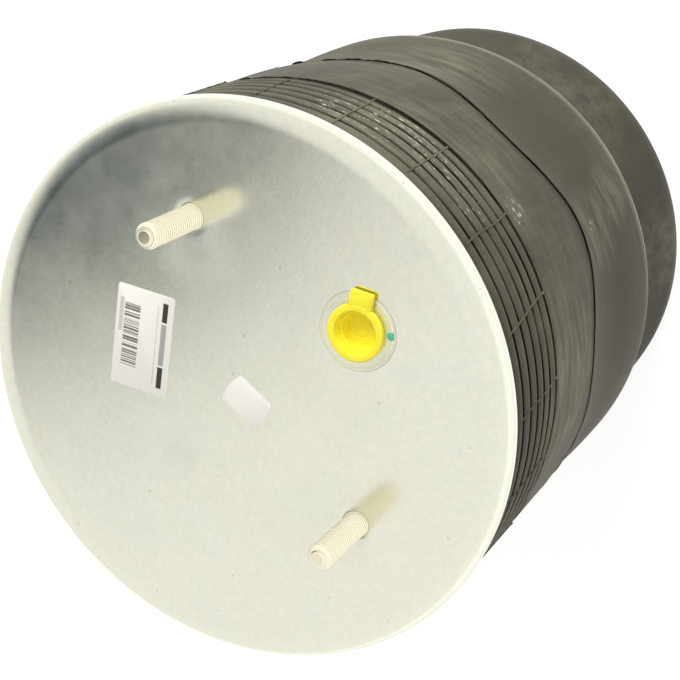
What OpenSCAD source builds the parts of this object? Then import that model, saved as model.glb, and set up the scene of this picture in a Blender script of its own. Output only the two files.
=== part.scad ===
// Rolling lobe air spring of a truck axle: a steel bead plate crimped over a
// cord and rubber sleeve, which rolls down over a ribbed, moulded piston.
// It stands on the piston's base, with the axis of the spring along Z.

/* [Bead plate] */
// Outer diameter of the bead plate, over the crimp
plate_d = 272; // [260:1:280]
// Height of the plate's top face above the piston's base
spring_h = 304; // [300:1:310]
// Thickness of the steel sheet
plate_t = 2.3; // [2:0.1:2.5]

/* [Studs and air port] */
// Distance between the two mounting studs
stud_pitch = 157.5; // [140:0.5:170]
// Distance from the plate's centre to the line of the studs
stud_offset = 25; // [0:1:40]
// Diameter of the stud thread
stud_d = 12; // [10:1:14]
// Length of the stud above the plate
stud_h = 38.5; // [20:0.5:45]
// Distance from the plate's centre to the air port
port_offset = 74; // [68:1:80]
// Radius of the air port's threaded bore, at the thread's crests
port_r = 10.2; // [9:0.1:11]
// Radius of the air port's face
port_face_r = 18.3; // [17:0.1:20]

/* [Rubber sleeve] */
// Thickness of the rubber cover outside the cords
cover_t = 1.4; // [1.2:0.1:1.6]
// Thickness of one cord ply
ply_t = 0.7; // [0.5:0.1:0.8]
// Thickness of the airtight liner
liner_t = 1.2; // [1:0.1:1.4]
// Radius of the sleeve above the lobe
sleeve_r = 134.2; // [133:0.1:135]
// Height of the middle of the rolled lobe
lobe_z = 91; // [86:1:96]
// How far the empty sleeve draws in at its waist
waist_in = 1.9; // [0:0.1:3]

/* [Piston] */
// Radius of the piston at its base
base_r = 127; // [122:0.5:130]
// Height of the piston's deck
deck_z = 150; // [146:1:152]
// Radius of the piston just below its shoulder
shoulder_r = 96; // [94:0.5:98]
// Thickness of the piston's outer wall
wall_t = 4.5; // [3.5:0.1:6]
// Thickness of the stiffening ribs
rib_t = 3; // [2.5:0.1:4]
// Number of outer stiffening ribs
rib_n = 24; // [24:8:32]
// Diameter of the bolt circle of the base inserts
insert_pcd = 144; // [140:1:148]

/* [Bumper] */
// Height of the bumper's top above the piston's base
bumper_top = 230; // [215:1:230]
// Radius of the bumper at its foot
bumper_r = 46; // [42:1:50]

/* [Hidden] */

$fn = 96;
eps = 0.01;
seat_gap = 0.3;          // room kept between the sleeve and the piston it rolls on

plate_r = plate_d / 2;
plate_under = spring_h - plate_t;
corner_r = 5;            // outside radius of the plate's turned corner
curl_r = 3.5;            // outside radius of the curl below the corner
curl_bottom = spring_h - corner_r - curl_r;
neck_r = plate_r - 6;    // outside radius of the sleeve where the curl grips it
knurl_r = stud_d / 2 + 0.35;
wire_r = 1.3;
upper_wire_z = plate_under - 1.95;
upper_wire_ring = neck_r + 1.9;

sleeve_t = cover_t + 2 * ply_t + liner_t;
band_r = sleeve_r + 0.4; // crown of the mould ribs below the plate
rib_rows = 5;
rib_top = curl_bottom - 0.4;
first_groove = spring_h - 18;
rib_pitch = 9.5;         // height of the first rib below the first groove
rib_shrink = 0.5;        // each rib is this much lower than the one above it
rib_groove = 1.1;        // depth of the groove between two mould ribs
rib_groove_w = 2;
band_bottom = groove_z(rib_rows);
waist_z = 152;
waist_spread = 28;
parting_z = 177;
parting_h = 0.5;
lobe_steps = 14;
shoulder_round = 10;

bead_out = 71.5;         // outside radius of the lower bead
bead_in = 62.3;
bead_top = deck_z + 10.2;
seat_r = bead_in - seat_gap;
seat_top = deck_z + 10.5;
lower_wire_r = 2;
lower_wire_ring = 66.9;
lower_wire_z = deck_z + 5.5;

closure_t = 3;
closure_top = seat_top + closure_t;
retainer_t = 3;
retainer_top = closure_top + retainer_t + 5;
bolt_d = 12;
ring_cord = 1.2;         // half the thickness of the O-ring
hub_r = 21;
well_r = 16.4;           // half the width of the socket well under the bolt
well_top = deck_z - 24;
deck_under = deck_z - 6;
foot_h = 8;              // straight foot of the piston's flare
flare_power = 1.6;
ring_rib_r = 56;
rib_recess = 1.5;        // ribs stop this far above the foot
weld_gap = 0.02;         // keeps the webs' corners out of the round walls
insert_r = 8.5;
insert_bore = 5.1;       // an M12 thread's bore at its crests
insert_h = 24;

label_l = 51;
label_w = 31;
sticker_l = 23;
sticker_w = 16.6;

module zcyl(r, z0, z1, r2 = -1) {
    translate([0, 0, z0]) cylinder(r1 = r, r2 = r2 < 0 ? r : r2, h = z1 - z0);
}

// Height of a groove of the ribbed band, counted down from the first.
function groove_z(i) = first_groove - rib_pitch * i + rib_shrink * i * (i - 1) / 2;

// Points of an arc about a centre, from one angle to another.
function arc(c, r, a0, a1, n) =
    [for (i = [0:n]) let (a = a0 + (a1 - a0) * i / n) [c[0] + r * cos(a), c[1] + r * sin(a)]];

function rev(p) = [for (i = [len(p) - 1:-1:0]) p[i]];

// Moves every point of a path sideways by d, to the left of its direction.
function side_step(p, d) = [
    for (i = [0:len(p) - 1])
        let (
            a = p[max(i - 1, 0)],
            b = p[min(i + 1, len(p) - 1)],
            t = (b - a) / norm(b - a)
        )
        p[i] + d * [-t[1], t[0]]
];

// Outer radius of the piston at a height: a slim neck that flares to the base.
function piston_r(z) =
    let (top = deck_z - shoulder_round, u = min(max((top - z) / (top - foot_h), 0), 1))
    shoulder_r + (base_r - shoulder_r) * pow(u, flare_power);

// Outer radius of the empty sleeve above the lobe, with its slack waist.
function wall_r(z) = sleeve_r - waist_in * exp(-pow((z - waist_z) / waist_spread, 2));

// The lobe is a round fold that touches both the wall and the flaring piston.
flare_span = 10;
flare = atan((piston_r(lobe_z - flare_span / 2) - piston_r(lobe_z + flare_span / 2)) / flare_span);
lobe_r = ((wall_r(lobe_z) - piston_r(lobe_z)) * cos(flare) - seat_gap) / (1 + cos(flare));
lobe_mid = wall_r(lobe_z) - lobe_r;

// The sleeve's outside from the curl of the plate, down the wall, round the
// lobe, up the piston and over its shoulder to the lower bead.
neck_path = [[neck_r, plate_under], [neck_r, curl_bottom], [neck_r + 1.4, curl_bottom - 3],
    [sleeve_r - 0.9, curl_bottom - 6.5], [sleeve_r, curl_bottom - 12]];
wall_path = [for (z = [band_bottom - 4:-11:lobe_z + 6]) [wall_r(z), z]];
lobe_path = arc([lobe_mid, lobe_z], lobe_r, 0, flare - 180, lobe_steps);
inner_path = [for (z = [lobe_z + 10:13:deck_z - shoulder_round - 2]) [piston_r(z) + seat_gap, z]];
deck_path = concat(
    arc([shoulder_r - shoulder_round, deck_z - shoulder_round], shoulder_round + seat_gap, 0, 90, 5),
    [[bead_out, deck_z + seat_gap]]
);
sleeve_path = concat(neck_path, wall_path, lobe_path, inner_path, deck_path);

// A ring of the sleeve between two depths below its outside.
module sleeve_layer(from, to) {
    rotate_extrude() polygon(concat(side_step(sleeve_path, -from), rev(side_step(sleeve_path, -to))));
}

// The ribbed band that the mould leaves on the sleeve below the plate.
module mould_ribs() {
    crown = [for (i = [0:rib_rows]) let (
            z1 = i == 0 ? rib_top : groove_z(i - 1),
            z0 = groove_z(i)
        )
        each [
            [band_r - (i == 0 ? 0.9 : rib_groove), z1],
            [band_r - 0.25, z1 - rib_groove_w / 2],
            [band_r, (z1 + z0) / 2],
            [band_r - 0.25, z0 + rib_groove_w / 2]
        ]
    ];
    rotate_extrude() polygon(concat(
        [[neck_r - cover_t / 2, rib_top]], crown,
        [[band_r - rib_groove, band_bottom], [sleeve_r - 0.5, band_bottom],
         [sleeve_r - 0.7, curl_bottom - 12], [neck_r + 1, curl_bottom - 3]]
    ));
}

module bead_plate() {
    color([0.80, 0.82, 0.78]) difference() {
        rotate_extrude() polygon(concat(
            [[0, plate_under], [0, spring_h]],
            arc([plate_r - corner_r, spring_h - corner_r], corner_r, 90, 0, 8),
            arc([plate_r - curl_r, curl_bottom + curl_r], curl_r, 0, -90, 7),
            [[neck_r, curl_bottom], [neck_r, curl_bottom + plate_t]],
            arc([plate_r - curl_r, curl_bottom + curl_r], curl_r - plate_t, -90, 0, 4),
            arc([plate_r - corner_r, spring_h - corner_r], corner_r - plate_t, 0, 90, 4)
        ));
        translate([0, -port_offset, 0]) zcyl(port_face_r, plate_under - 1, spring_h + 1);
        for (s = [-1, 1])
            translate([s * stud_pitch / 2, -stud_offset, 0]) zcyl(knurl_r, plate_under - 1, spring_h + 1);
    }
}

// A press-in stud: chamfered shank, knurled neck in the plate, serrated head below.
module stud(side) {
    tip = spring_h + stud_h;
    color([0.86, 0.84, 0.74]) translate([side * stud_pitch / 2, -stud_offset, 0]) {
        zcyl(knurl_r, plate_under - eps, spring_h);
        zcyl(stud_d / 2, spring_h - eps, tip - 2.2);
        zcyl(stud_d / 2, tip - 2.2, tip - 0.9, stud_d / 2 - 1.3);
        zcyl(stud_d / 2 - 1.3, tip - 0.9, tip, stud_d / 2 - 2.8);
        difference() {
            zcyl(9, plate_under - 5, plate_under);
            for (a = [0:30:330]) rotate(a) translate([9.6, 0, 0]) zcyl(1.2, plate_under - 6, plate_under + 1);
        }
    }
}

module stud_left() { stud(-1); }

module stud_right() { stud(1); }

// The threaded boss: a turned bush, pressed into the plate with its face flush.
module port_boss() {
    color([0.83, 0.84, 0.79]) translate([0, -port_offset, 0]) difference() {
        union() {
            zcyl(port_face_r, plate_under, spring_h);
            zcyl(port_face_r + 2.5, plate_under - 2.5, plate_under);
            zcyl(15, spring_h - 20, plate_under - 2.5);
        }
        zcyl(port_r, spring_h - 21, spring_h + 1);
        zcyl(port_r, spring_h - 1.2, spring_h + eps, port_r + 1.2);
        rotate_extrude() translate([port_face_r - 1.5, spring_h]) circle(r = 0.45, $fn = 24);
    }
}

// Transit plug: a stepped cup with a flange and a pull tab.
module port_plug() {
    stem_r = port_r - 0.1;
    flange_r = 13.6;
    tab_turn = -42;
    color([0.98, 0.90, 0.10]) translate([0, -port_offset, spring_h]) difference() {
        union() {
            zcyl(stem_r - 0.8, -13, -11.5, stem_r);
            zcyl(stem_r, -11.5, 1);
            zcyl(flange_r - 1.2, 0, 1.2);
            zcyl(flange_r, 1.2, 3.4);
            rotate(tab_turn) translate([0, -5.8, 1.4]) cube([19.6, 11.6, 1.8]);
        }
        zcyl(8.2, -6, 2, 9);
        zcyl(9, 2 - eps, 3.5, 10.2);
        translate([1.6, 1.2, 0]) zcyl(5.4, -9.5, -5);
    }
}

module upper_bead_wire() {
    color([0.55, 0.45, 0.25]) rotate_extrude() translate([upper_wire_ring, upper_wire_z]) circle(r = wire_r, $fn = 24);
}

// Outer rubber of the sleeve, with the beads that grip the plate and piston.
module bellows_cover() {
    color([0.25, 0.24, 0.22]) difference() {
        union() {
            sleeve_layer(0, cover_t);
            mould_ribs();
            rotate_extrude() polygon([
                [neck_r - cover_t / 2, plate_under], [neck_r - cover_t / 2, curl_bottom + plate_t],
                [plate_r - curl_r, curl_bottom + plate_t], [plate_r - plate_t, curl_bottom + curl_r],
                [plate_r - plate_t, spring_h - corner_r], [plate_r - corner_r, plate_under]
            ]);
            rotate_extrude() polygon([
                [bead_in, deck_z + seat_gap], [bead_out + 1, deck_z + seat_gap],
                [bead_out + 1, deck_z + seat_gap + cover_t], [bead_out, deck_z + seat_gap + cover_t],
                [bead_out, bead_top], [bead_in, bead_top]
            ]);
            rotate_extrude() polygon([
                [wall_r(parting_z) - cover_t / 2, parting_z - 2], [wall_r(parting_z) - 0.02, parting_z - 1.2],
                [wall_r(parting_z) + parting_h, parting_z], [wall_r(parting_z) - 0.02, parting_z + 1.2],
                [wall_r(parting_z) - cover_t / 2, parting_z + 2]
            ]);
        }
        rotate_extrude() translate([upper_wire_ring, upper_wire_z]) circle(r = wire_r, $fn = 24);
        rotate_extrude() translate([lower_wire_ring, lower_wire_z])
            circle(r = lower_wire_r + seat_gap, $fn = 24);
    }
}

module outer_cord_ply() {
    color([0.55, 0.50, 0.42]) sleeve_layer(cover_t, cover_t + ply_t);
}

module inner_cord_ply() {
    color([0.62, 0.56, 0.46]) sleeve_layer(cover_t + ply_t, cover_t + 2 * ply_t);
}

module inner_liner() {
    color([0.16, 0.16, 0.16]) sleeve_layer(cover_t + 2 * ply_t, sleeve_t);
}

module lower_bead_wire() {
    color([0.55, 0.45, 0.25]) rotate_extrude()
        translate([lower_wire_ring, lower_wire_z]) circle(r = lower_wire_r, $fn = 24);
}

// Pressed disc that holds the lower bead on its seat.
module closure_plate() {
    lip_r = bead_out + 3.2;
    color([0.75, 0.76, 0.74]) difference() {
        rotate_extrude() polygon([
            [0, seat_top], [lip_r - 3, seat_top], [lip_r - 3, seat_top - 4], [lip_r, seat_top - 4],
            [lip_r, closure_top - 2], [lip_r - 2, closure_top], [0, closure_top]
        ]);
        zcyl(bolt_d / 2, seat_top - 1, closure_top + 1);
    }
}

// Dished disc under the nut, which the bumper's foot snaps over.
module bumper_retainer() {
    color([0.75, 0.76, 0.74]) difference() {
        rotate_extrude() polygon([
            [0, closure_top], [20, closure_top], [26, closure_top + 5], [34, closure_top + 5],
            [34, retainer_top], [25, retainer_top], [19, closure_top + retainer_t], [0, closure_top + retainer_t]
        ]);
        zcyl(bolt_d / 2, closure_top - 1, retainer_top + 1);
    }
}

module closure_nut() {
    foot = closure_top + retainer_t;
    color([0.72, 0.73, 0.72]) difference() {
        union() {
            zcyl(12, foot, foot + 1.5);
            intersection() {
                translate([0, 0, foot + 1.5]) cylinder(r = 10.4, h = 10.5, $fn = 6);
                zcyl(10.5, foot, foot + 12, 9.6);
            }
        }
        zcyl(bolt_d / 2, foot - 1, foot + 13);
    }
}

// Rubber bumper: waisted cone with a hollow foot that grips the retainer.
module bumper() {
    foot = closure_top;
    color([0.18, 0.18, 0.18]) rotate_extrude() polygon([
        [35, foot], [bumper_r - 2, foot], [bumper_r, foot + 2], [bumper_r, foot + 14],
        [bumper_r - 7, foot + 22], [bumper_r - 7, foot + 28], [bumper_r - 3, foot + 36],
        [bumper_r - 4, bumper_top - 8], [bumper_r - 12, bumper_top], [10, bumper_top], [7, bumper_top - 3],
        [7, retainer_top + 12], [15, retainer_top + 10], [22, retainer_top + 6], [24, retainer_top],
        [34, retainer_top], [34, closure_top + 5], [27.5, closure_top + 5], [27.5, foot + 2], [30, foot]
    ]);
}

// Inside radius of the piston's skin at a height.
function piston_in(z) = piston_r(z) - wall_t;

// Heights at which the flared skin is drawn, from its shoulder to its foot.
skin_steps = [for (z = [deck_z - shoulder_round:-12:foot_h + 4]) z];

// Outer moulding of the piston: flared skin, deck and bead seat.
module piston() {
    color([0.20, 0.20, 0.19]) difference() {
        rotate_extrude() polygon(concat(
            [[0, deck_under], [0, seat_top], [seat_r - 1.5, seat_top], [seat_r, seat_top - 1.5], [seat_r, deck_z]],
            arc([shoulder_r - shoulder_round, deck_z - shoulder_round], shoulder_round, 90, 0, 6),
            [for (z = skin_steps) if (z < deck_z - shoulder_round) [piston_r(z), z]],
            [[base_r, foot_h], [base_r, 1.5], [base_r - 1.5, 0], [base_r - wall_t, 0], [base_r - wall_t, foot_h]],
            [for (z = rev(skin_steps)) [piston_in(z), z]],
            [[shoulder_r - shoulder_round, deck_under]]
        ));
        zcyl(bolt_d / 2 + 0.5, deck_under - 1, seat_top + 1);
        zcyl(bolt_d / 2 + 2 * ring_cord, seat_top - 2 * ring_cord, seat_top + 1);
    }
}

// Hub under the deck: a tube whose well lets a socket reach the bolt's head.
module piston_hub() {
    color([0.22, 0.22, 0.21]) difference() {
        zcyl(hub_r, 0, deck_under);
        zcyl(well_r, -1, well_top);
        zcyl(bolt_d / 2 + 0.5, well_top - 1, deck_z);
    }
}

// One web, from the ring rib out to the piston's flared skin.
module outer_web() {
    start = ring_rib_r + rib_t / 2 + weld_gap;
    rotate([90, 0, 0]) translate([0, 0, -rib_t / 2]) linear_extrude(rib_t) polygon(concat(
        [[start, deck_under], [start, rib_recess], [base_r - wall_t - weld_gap, rib_recess],
         [base_r - wall_t - weld_gap, foot_h]],
        [for (z = rev(skin_steps)) [piston_in(z) - weld_gap, z]],
        [[shoulder_r - shoulder_round, deck_under]]
    ));
}

// One web with the boss that holds a threaded insert.
module boss_web() {
    difference() {
        union() {
            outer_web();
            translate([insert_pcd / 2, 0, 0]) zcyl(insert_r + 4, 0, 40);
        }
        translate([insert_pcd / 2, 0, 0]) {
            zcyl(insert_r, -1, insert_h);
            zcyl(insert_bore, insert_h - 1, insert_h + 8);
        }
    }
}

// Stiffening ribs under the deck: a ring, webs inside it and webs out to the skin.
module piston_ribs() {
    boss_step = rib_n / 4;
    web_in = hub_r + weld_gap;
    color([0.24, 0.24, 0.23]) {
        difference() {
            zcyl(ring_rib_r + rib_t / 2, rib_recess, deck_under);
            zcyl(ring_rib_r - rib_t / 2, 0, deck_z);
        }
        for (i = [0.5:rib_n / 2]) rotate(i * 720 / rib_n) translate([web_in, -rib_t / 2, rib_recess])
            cube([ring_rib_r - rib_t / 2 - 2 * weld_gap - web_in, rib_t, deck_under - rib_recess]);
        for (i = [0:rib_n - 1]) if (i % boss_step != boss_step / 2) rotate(i * 360 / rib_n) outer_web();
        for (a = [45:90:315]) rotate(a) boss_web();
    }
}

// O-ring that seals the bolt hole under the closure plate.
module bolt_o_ring() {
    color([0.10, 0.10, 0.10]) rotate_extrude()
        translate([bolt_d / 2 + ring_cord, seat_top - ring_cord]) circle(r = ring_cord, $fn = 24);
}

// Hexagon bolt from the socket well up to the closure nut.
module closure_bolt() {
    head_under = well_top - 2.5;
    color([0.72, 0.73, 0.72]) {
        zcyl(bolt_d / 2, head_under - eps, closure_top + retainer_t + 13.5);
        intersection() {
            translate([0, 0, head_under - 7.5]) cylinder(r = 10.4, h = 7.5, $fn = 6);
            zcyl(9.4, head_under - 7.5, head_under, 12);
        }
    }
}

module bolt_washer() {
    color([0.78, 0.78, 0.75]) difference() {
        zcyl(12, well_top - 2.5, well_top);
        zcyl(bolt_d / 2, well_top - 3, well_top + 1);
    }
}

// Threaded steel inserts moulded into the base.
module base_inserts() {
    color([0.80, 0.72, 0.45]) for (a = [45:90:315]) rotate(a) translate([insert_pcd / 2, 0, 0]) difference() {
        zcyl(insert_r, 0, insert_h);
        zcyl(insert_bore, -1, insert_h + 1);
    }
}

// Paper label with rounded corners.
module parts_label() {
    corner = 1.5;
    color([0.95, 0.95, 0.95]) translate([40, 32.3, spring_h]) rotate(140) linear_extrude(0.15) union() {
        square([label_l - 2 * corner, label_w], center = true);
        square([label_l, label_w - 2 * corner], center = true);
        for (x = [-1, 1], y = [-1, 1])
            translate([x * (label_l / 2 - corner), y * (label_w / 2 - corner)]) circle(r = corner, $fn = 24);
    }
}

// Small blank sticker with straight sides and bowed ends.
module blank_sticker() {
    color([0.97, 0.97, 0.95]) translate([-7.2, -3.9, spring_h]) rotate(20.7) linear_extrude(0.12) intersection() {
        square([sticker_l + 4, sticker_w], center = true);
        translate([-sticker_w / 2, 0]) circle(r = sticker_l / 2 + 10);
        translate([sticker_w / 2, 0]) circle(r = sticker_l / 2 + 10);
    }
}

// Inspector's paint mark on the face of the air port.
module paint_mark() {
    color([0.30, 0.68, 0.50]) translate([-8.3, -port_offset - 13.4, spring_h]) zcyl(2.2, 0, 0.1);
}

bead_plate();
stud_left();
stud_right();
port_boss();
port_plug();
upper_bead_wire();
bellows_cover();
outer_cord_ply();
inner_cord_ply();
inner_liner();
lower_bead_wire();
closure_plate();
bumper_retainer();
bumper();
closure_nut();
piston();
piston_hub();
piston_ribs();
bolt_o_ring();
closure_bolt();
bolt_washer();
base_inserts();
parts_label();
blank_sticker();
paint_mark();
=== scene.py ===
import math
import random

import bmesh
import bpy
from bpy.props import FloatProperty, FloatVectorProperty, IntProperty, PointerProperty
from bpy.types import NodeSocket, Operator, Panel, PropertyGroup
from mathutils import Matrix, Vector, noise


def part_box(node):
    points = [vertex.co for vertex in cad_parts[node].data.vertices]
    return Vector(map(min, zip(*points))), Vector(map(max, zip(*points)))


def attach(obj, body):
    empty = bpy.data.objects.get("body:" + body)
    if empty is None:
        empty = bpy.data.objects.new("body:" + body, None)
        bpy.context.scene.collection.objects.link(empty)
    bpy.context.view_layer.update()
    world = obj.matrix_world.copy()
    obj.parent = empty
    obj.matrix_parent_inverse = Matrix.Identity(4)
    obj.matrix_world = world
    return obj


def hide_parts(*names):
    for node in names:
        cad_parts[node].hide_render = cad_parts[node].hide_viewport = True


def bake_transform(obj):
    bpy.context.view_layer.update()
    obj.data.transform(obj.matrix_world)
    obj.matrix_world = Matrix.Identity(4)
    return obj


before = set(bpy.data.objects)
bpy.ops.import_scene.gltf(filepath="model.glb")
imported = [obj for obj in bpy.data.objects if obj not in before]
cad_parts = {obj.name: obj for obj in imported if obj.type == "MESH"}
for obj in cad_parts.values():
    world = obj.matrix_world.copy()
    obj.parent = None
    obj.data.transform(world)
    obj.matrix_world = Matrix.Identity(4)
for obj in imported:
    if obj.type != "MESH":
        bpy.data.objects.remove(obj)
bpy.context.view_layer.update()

bl_info = {
    "name": "Rolling Lobe Air Spring",
    "version": (1, 0, 0),
    "blender": (4, 5, 0),
    "location": "View3D > Sidebar > Air Spring",
    "description": "Dresses the frame of a rolling lobe air spring in steel, rubber and plastic",
    "category": "Object",
}

PISTON_BODY = "piston_assembly"
PLATE_BODY = "plate_assembly"
PLUG_BODY = "transit_plug"

# Sizes and places that the CAD nodes hold are read from their boxes.
PLATE_LOW, PLATE_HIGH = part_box("bead_plate")
STUD_LOW, STUD_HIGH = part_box("stud_right")
PISTON_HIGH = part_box("piston")[1]

FACE_Z = PLATE_HIGH.z
CURL_Z = PLATE_LOW.z
TIP_Z = STUD_HIGH.z

RING_STEPS = 256
SMALL_STEPS = 72
MM = 0.001


def centre_of(node):
    """The middle of a CAD node's box."""
    low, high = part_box(node)
    return (low + high) / 2


def length(name, description, default):
    return FloatProperty(name=name, description=description, default=default, unit="LENGTH", precision=5)


def turn(name, description, degrees):
    return FloatProperty(name=name, description=description, default=math.radians(degrees), subtype="ANGLE")


def count(name, description, default, low, high):
    return IntProperty(name=name, description=description, default=default, min=low, max=high)


def number(name, description, default):
    return FloatProperty(name=name, description=description, default=default, min=0.0)


def colour(name, description, default):
    return FloatVectorProperty(
        name=name, description=description, default=default, size=3, min=0.0, max=1.0, subtype="COLOR"
    )


class PlateSizes(PropertyGroup):
    radius: length("Radius", "Outer radius over the crimp", PLATE_HIGH.x)
    sheet: length("Sheet", "Thickness of the steel sheet", 0.0023)
    corner: length("Corner", "Height of the turned corner", 0.0050)
    crown: length("Crown", "Width of the soft slope before the corner", 0.0080)
    crown_lean: turn("Crown lean", "Lean of the slope where it meets the corner", 12)
    neck: length("Neck", "Radius at which the curl grips the sleeve", PLATE_HIGH.x - 0.006)
    swell: length("Swell", "Radius of the swell that pressing in a stud raised", 0.0150)
    swell_height: length("Swell height", "Height of that swell", 0.00004)


class StudSizes(PropertyGroup):
    radius: length("Radius", "Radius over the thread's crests", 0.006)
    pitch: length("Pitch", "Pitch of the thread", 0.00175)
    depth: length("Depth", "Depth of the thread", 0.00046)
    tip: length("Tip", "Height of the raised tip", 0.0009)
    neck: length("Neck", "Radius of the knurled neck", 0.00635)
    head: length("Head", "Radius of the head below the plate", 0.009)


class PortSizes(PropertyGroup):
    face: length("Face", "Radius of the boss's face", 0.0183)
    bore: length("Bore", "Radius of the threaded bore", 0.0102)
    flange: length("Flange", "Radius of the plug's flange", 0.0134)
    flange_top: length("Flange top", "Height of the plug's flange above the plate", 0.0034)
    mouth: length("Mouth", "Radius of the cup's mouth", 0.0097)
    cup: length("Cup", "Depth of the cup below the plate's face", 0.0060)
    pocket: length("Pocket", "Radius of the pocket in the cup's floor", 0.0054)
    tab_reach: length("Tab reach", "Reach of the pull tab from the plug's centre", 0.0196)
    tab_width: length("Tab width", "Width of the pull tab", 0.0112)
    tab_turn: turn("Tab turn", "Direction of the pull tab", -42)


class SleeveSizes(PropertyGroup):
    wall: length("Wall radius", "Radius of the sleeve above the lobe", 0.1342)
    band: length("Band radius", "Radius of the ribbed band's crowns", 0.1346)
    first_groove: length("First groove", "Depth of the first groove below the plate's face", 0.018)
    rib_pitch: length("Rib pitch", "Height of the first rib below the first groove", 0.0095)
    rib_shrink: length("Rib shrink", "How much lower each rib is than the one above it", 0.0005)
    ribs: count("Ribs", "Ribs below the first groove", 5, 3, 7)
    groove: length("Groove", "Depth of a groove", 0.0011)
    groove_width: length("Groove width", "Width of a groove", 0.0026)
    waist_z: length("Waist height", "Height of the slack waist", 0.152)
    waist_in: length("Waist", "How far the waist draws in", 0.0019)
    waist_spread: length("Waist spread", "Half the height that the waist takes", 0.028)
    parting_z: length("Parting line", "Mean height of the parting line", 0.177)
    parting_wave: length("Parting wave", "How far the parting line wanders", 0.0068)
    waves: count("Waves", "Waves round the sleeve", 7, 5, 9)
    wave_turn: turn("Wave turn", "Direction of a wave's crest", -70)
    lobe_z: length("Lobe height", "Height of the middle of the rolled lobe", 0.091)
    cover: length("Cover", "Thickness of the outer rubber", 0.0014)
    ply: length("Ply", "Thickness of one cord ply", 0.0007)
    liner: length("Liner", "Thickness of the airtight liner", 0.0012)
    gap: length("Gap", "Room between the sleeve and the piston", 0.0003)
    bead_out: length("Bead outside", "Outer radius of the lower bead", 0.0715)
    bead_in: length("Bead inside", "Inner radius of the lower bead", 0.0623)
    bead_height: length("Bead height", "Height of the lower bead over the deck", 0.0102)
    vents: count("Vent lines", "Flash lines across the band", 21, 12, 30)
    # Direction in which the grooves' painted shade is faintest, towards the light
    faint_shade_turn: turn("Dusty side", "Direction in which dust fills the grooves", -23)
    vent_turn: turn("Vent turn", "Direction of one flash line", -84.3)
    torn_turn: turn("Torn side", "Direction in which the flash is torn up most", -28)
    # Direction in which the band's painted shade is darkest
    band_shade_turn: turn("Dark side", "Direction in which the band is darkest", -125)


class PistonSizes(PropertyGroup):
    base: length("Base radius", "Radius at the base", PISTON_HIGH.x)
    shoulder: length("Shoulder radius", "Radius just below the shoulder", 0.096)
    shoulder_round: length("Shoulder round", "Rounding of the shoulder", 0.010)
    deck_z: length("Deck", "Height of the deck", 0.150)
    deck: length("Deck thickness", "Thickness of the deck", 0.006)
    seat: length("Seat radius", "Radius of the lower bead's seat", 0.062)
    foot: length("Foot", "Height of the straight foot", 0.008)
    skin: length("Skin", "Thickness of the skin", 0.0045)
    bolt_hole: length("Bolt hole", "Radius of the bolt's clearance hole", 0.0065)
    ring_seat: length("Ring seat", "Radius of the sealing ring's counterbore", 0.0084)
    ring_depth: length("Ring depth", "Depth of the sealing ring's counterbore", 0.0024)
    flare: number("Flare", "Power of the flare's curve", 1.6)


class PaperSizes(PropertyGroup):
    label_length: length("Label length", "Length of the label", 0.051)
    label_width: length("Label width", "Width of the label", 0.031)
    label_turn: turn("Label turn", "Direction of the label's length", 140)
    corner: length("Corner", "Radius of the label's corners", 0.0015)
    sticker_length: length("Sticker length", "Length of the blank sticker", 0.023)
    sticker_width: length("Sticker width", "Width of the blank sticker", 0.0166)
    sticker_turn: turn("Sticker turn", "Direction of the sticker's length", 20.7)


class StageSettings(PropertyGroup):
    lens: number("Lens", "Focal length in millimetres", 82.588)
    place: FloatVectorProperty(
        name="Place", description="Where the camera stands", subtype="XYZ",
        default=(0.04396, -0.42342, 0.88272),
    )
    turned: FloatVectorProperty(
        name="Turned", description="The camera's rotation", subtype="EULER",
        default=tuple(math.radians(a) for a in (-19.2446, 26.1177, -121.4424)),
    )
    dark_side: FloatVectorProperty(
        name="Dark side", description="Direction of the room's dark side", subtype="XYZ",
        default=(0.230, 0.586, 0.777),
    )
    key: number("Key", "Power of the key light in watts", 49.0)
    fill: number("Fill", "Power of the fill light in watts", 2.0)
    dome: number("Dome", "Strength of the room's even light", 0.50)


class Finishes(PropertyGroup):
    rubber: colour("Rubber", "Clean rubber", (0.031, 0.0298, 0.0192))
    rubber_worn: colour("Worn rubber", "Greyed rubber", (0.068, 0.065, 0.044))
    # Dust colour, also used for the painted highlight along the lobe's fold
    dust: colour("Dust", "Dust on rubber and plastic", (0.32, 0.30, 0.21))
    talc: colour("Talc", "Mould powder", (0.66, 0.63, 0.54))
    zinc: colour("Zinc", "Zinc plating", (0.83, 0.85, 0.76))
    zinc_warm: colour("Warm zinc", "Yellowed zinc plating", (0.90, 0.88, 0.72))
    stud: colour("Stud", "Cream zinc plating of the studs", (0.86, 0.81, 0.62))
    plug: colour("Plug", "Yellow plastic", (1.0, 0.87, 0.03))
    moulding: colour("Moulding", "Black glass-filled plastic", (0.047, 0.045, 0.032))
    cord: colour("Cord", "Rubbered cord", (0.30, 0.25, 0.18))
    wire: colour("Wire", "Bronzed bead wire", (0.50, 0.34, 0.15))
    steel: colour("Steel", "Plated bolts", (0.62, 0.63, 0.62))
    brass: colour("Brass", "Brass inserts", (0.72, 0.56, 0.26))
    paper: colour("Paper", "Label paper", (0.91, 0.905, 0.84))
    ink: colour("Ink", "Ink of the label's bars", (0.05, 0.045, 0.04))
    paint: colour("Paint", "Inspector's paint", (0.07, 0.42, 0.27))


class AirSpringSettings(PropertyGroup):
    plate: PointerProperty(type=PlateSizes)
    stud: PointerProperty(type=StudSizes)
    port: PointerProperty(type=PortSizes)
    sleeve: PointerProperty(type=SleeveSizes)
    piston: PointerProperty(type=PistonSizes)
    paper: PointerProperty(type=PaperSizes)
    stage: PointerProperty(type=StageSettings)
    finish: PointerProperty(type=Finishes)


def chosen():
    return bpy.context.scene.air_spring


# Mesh helpers

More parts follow.
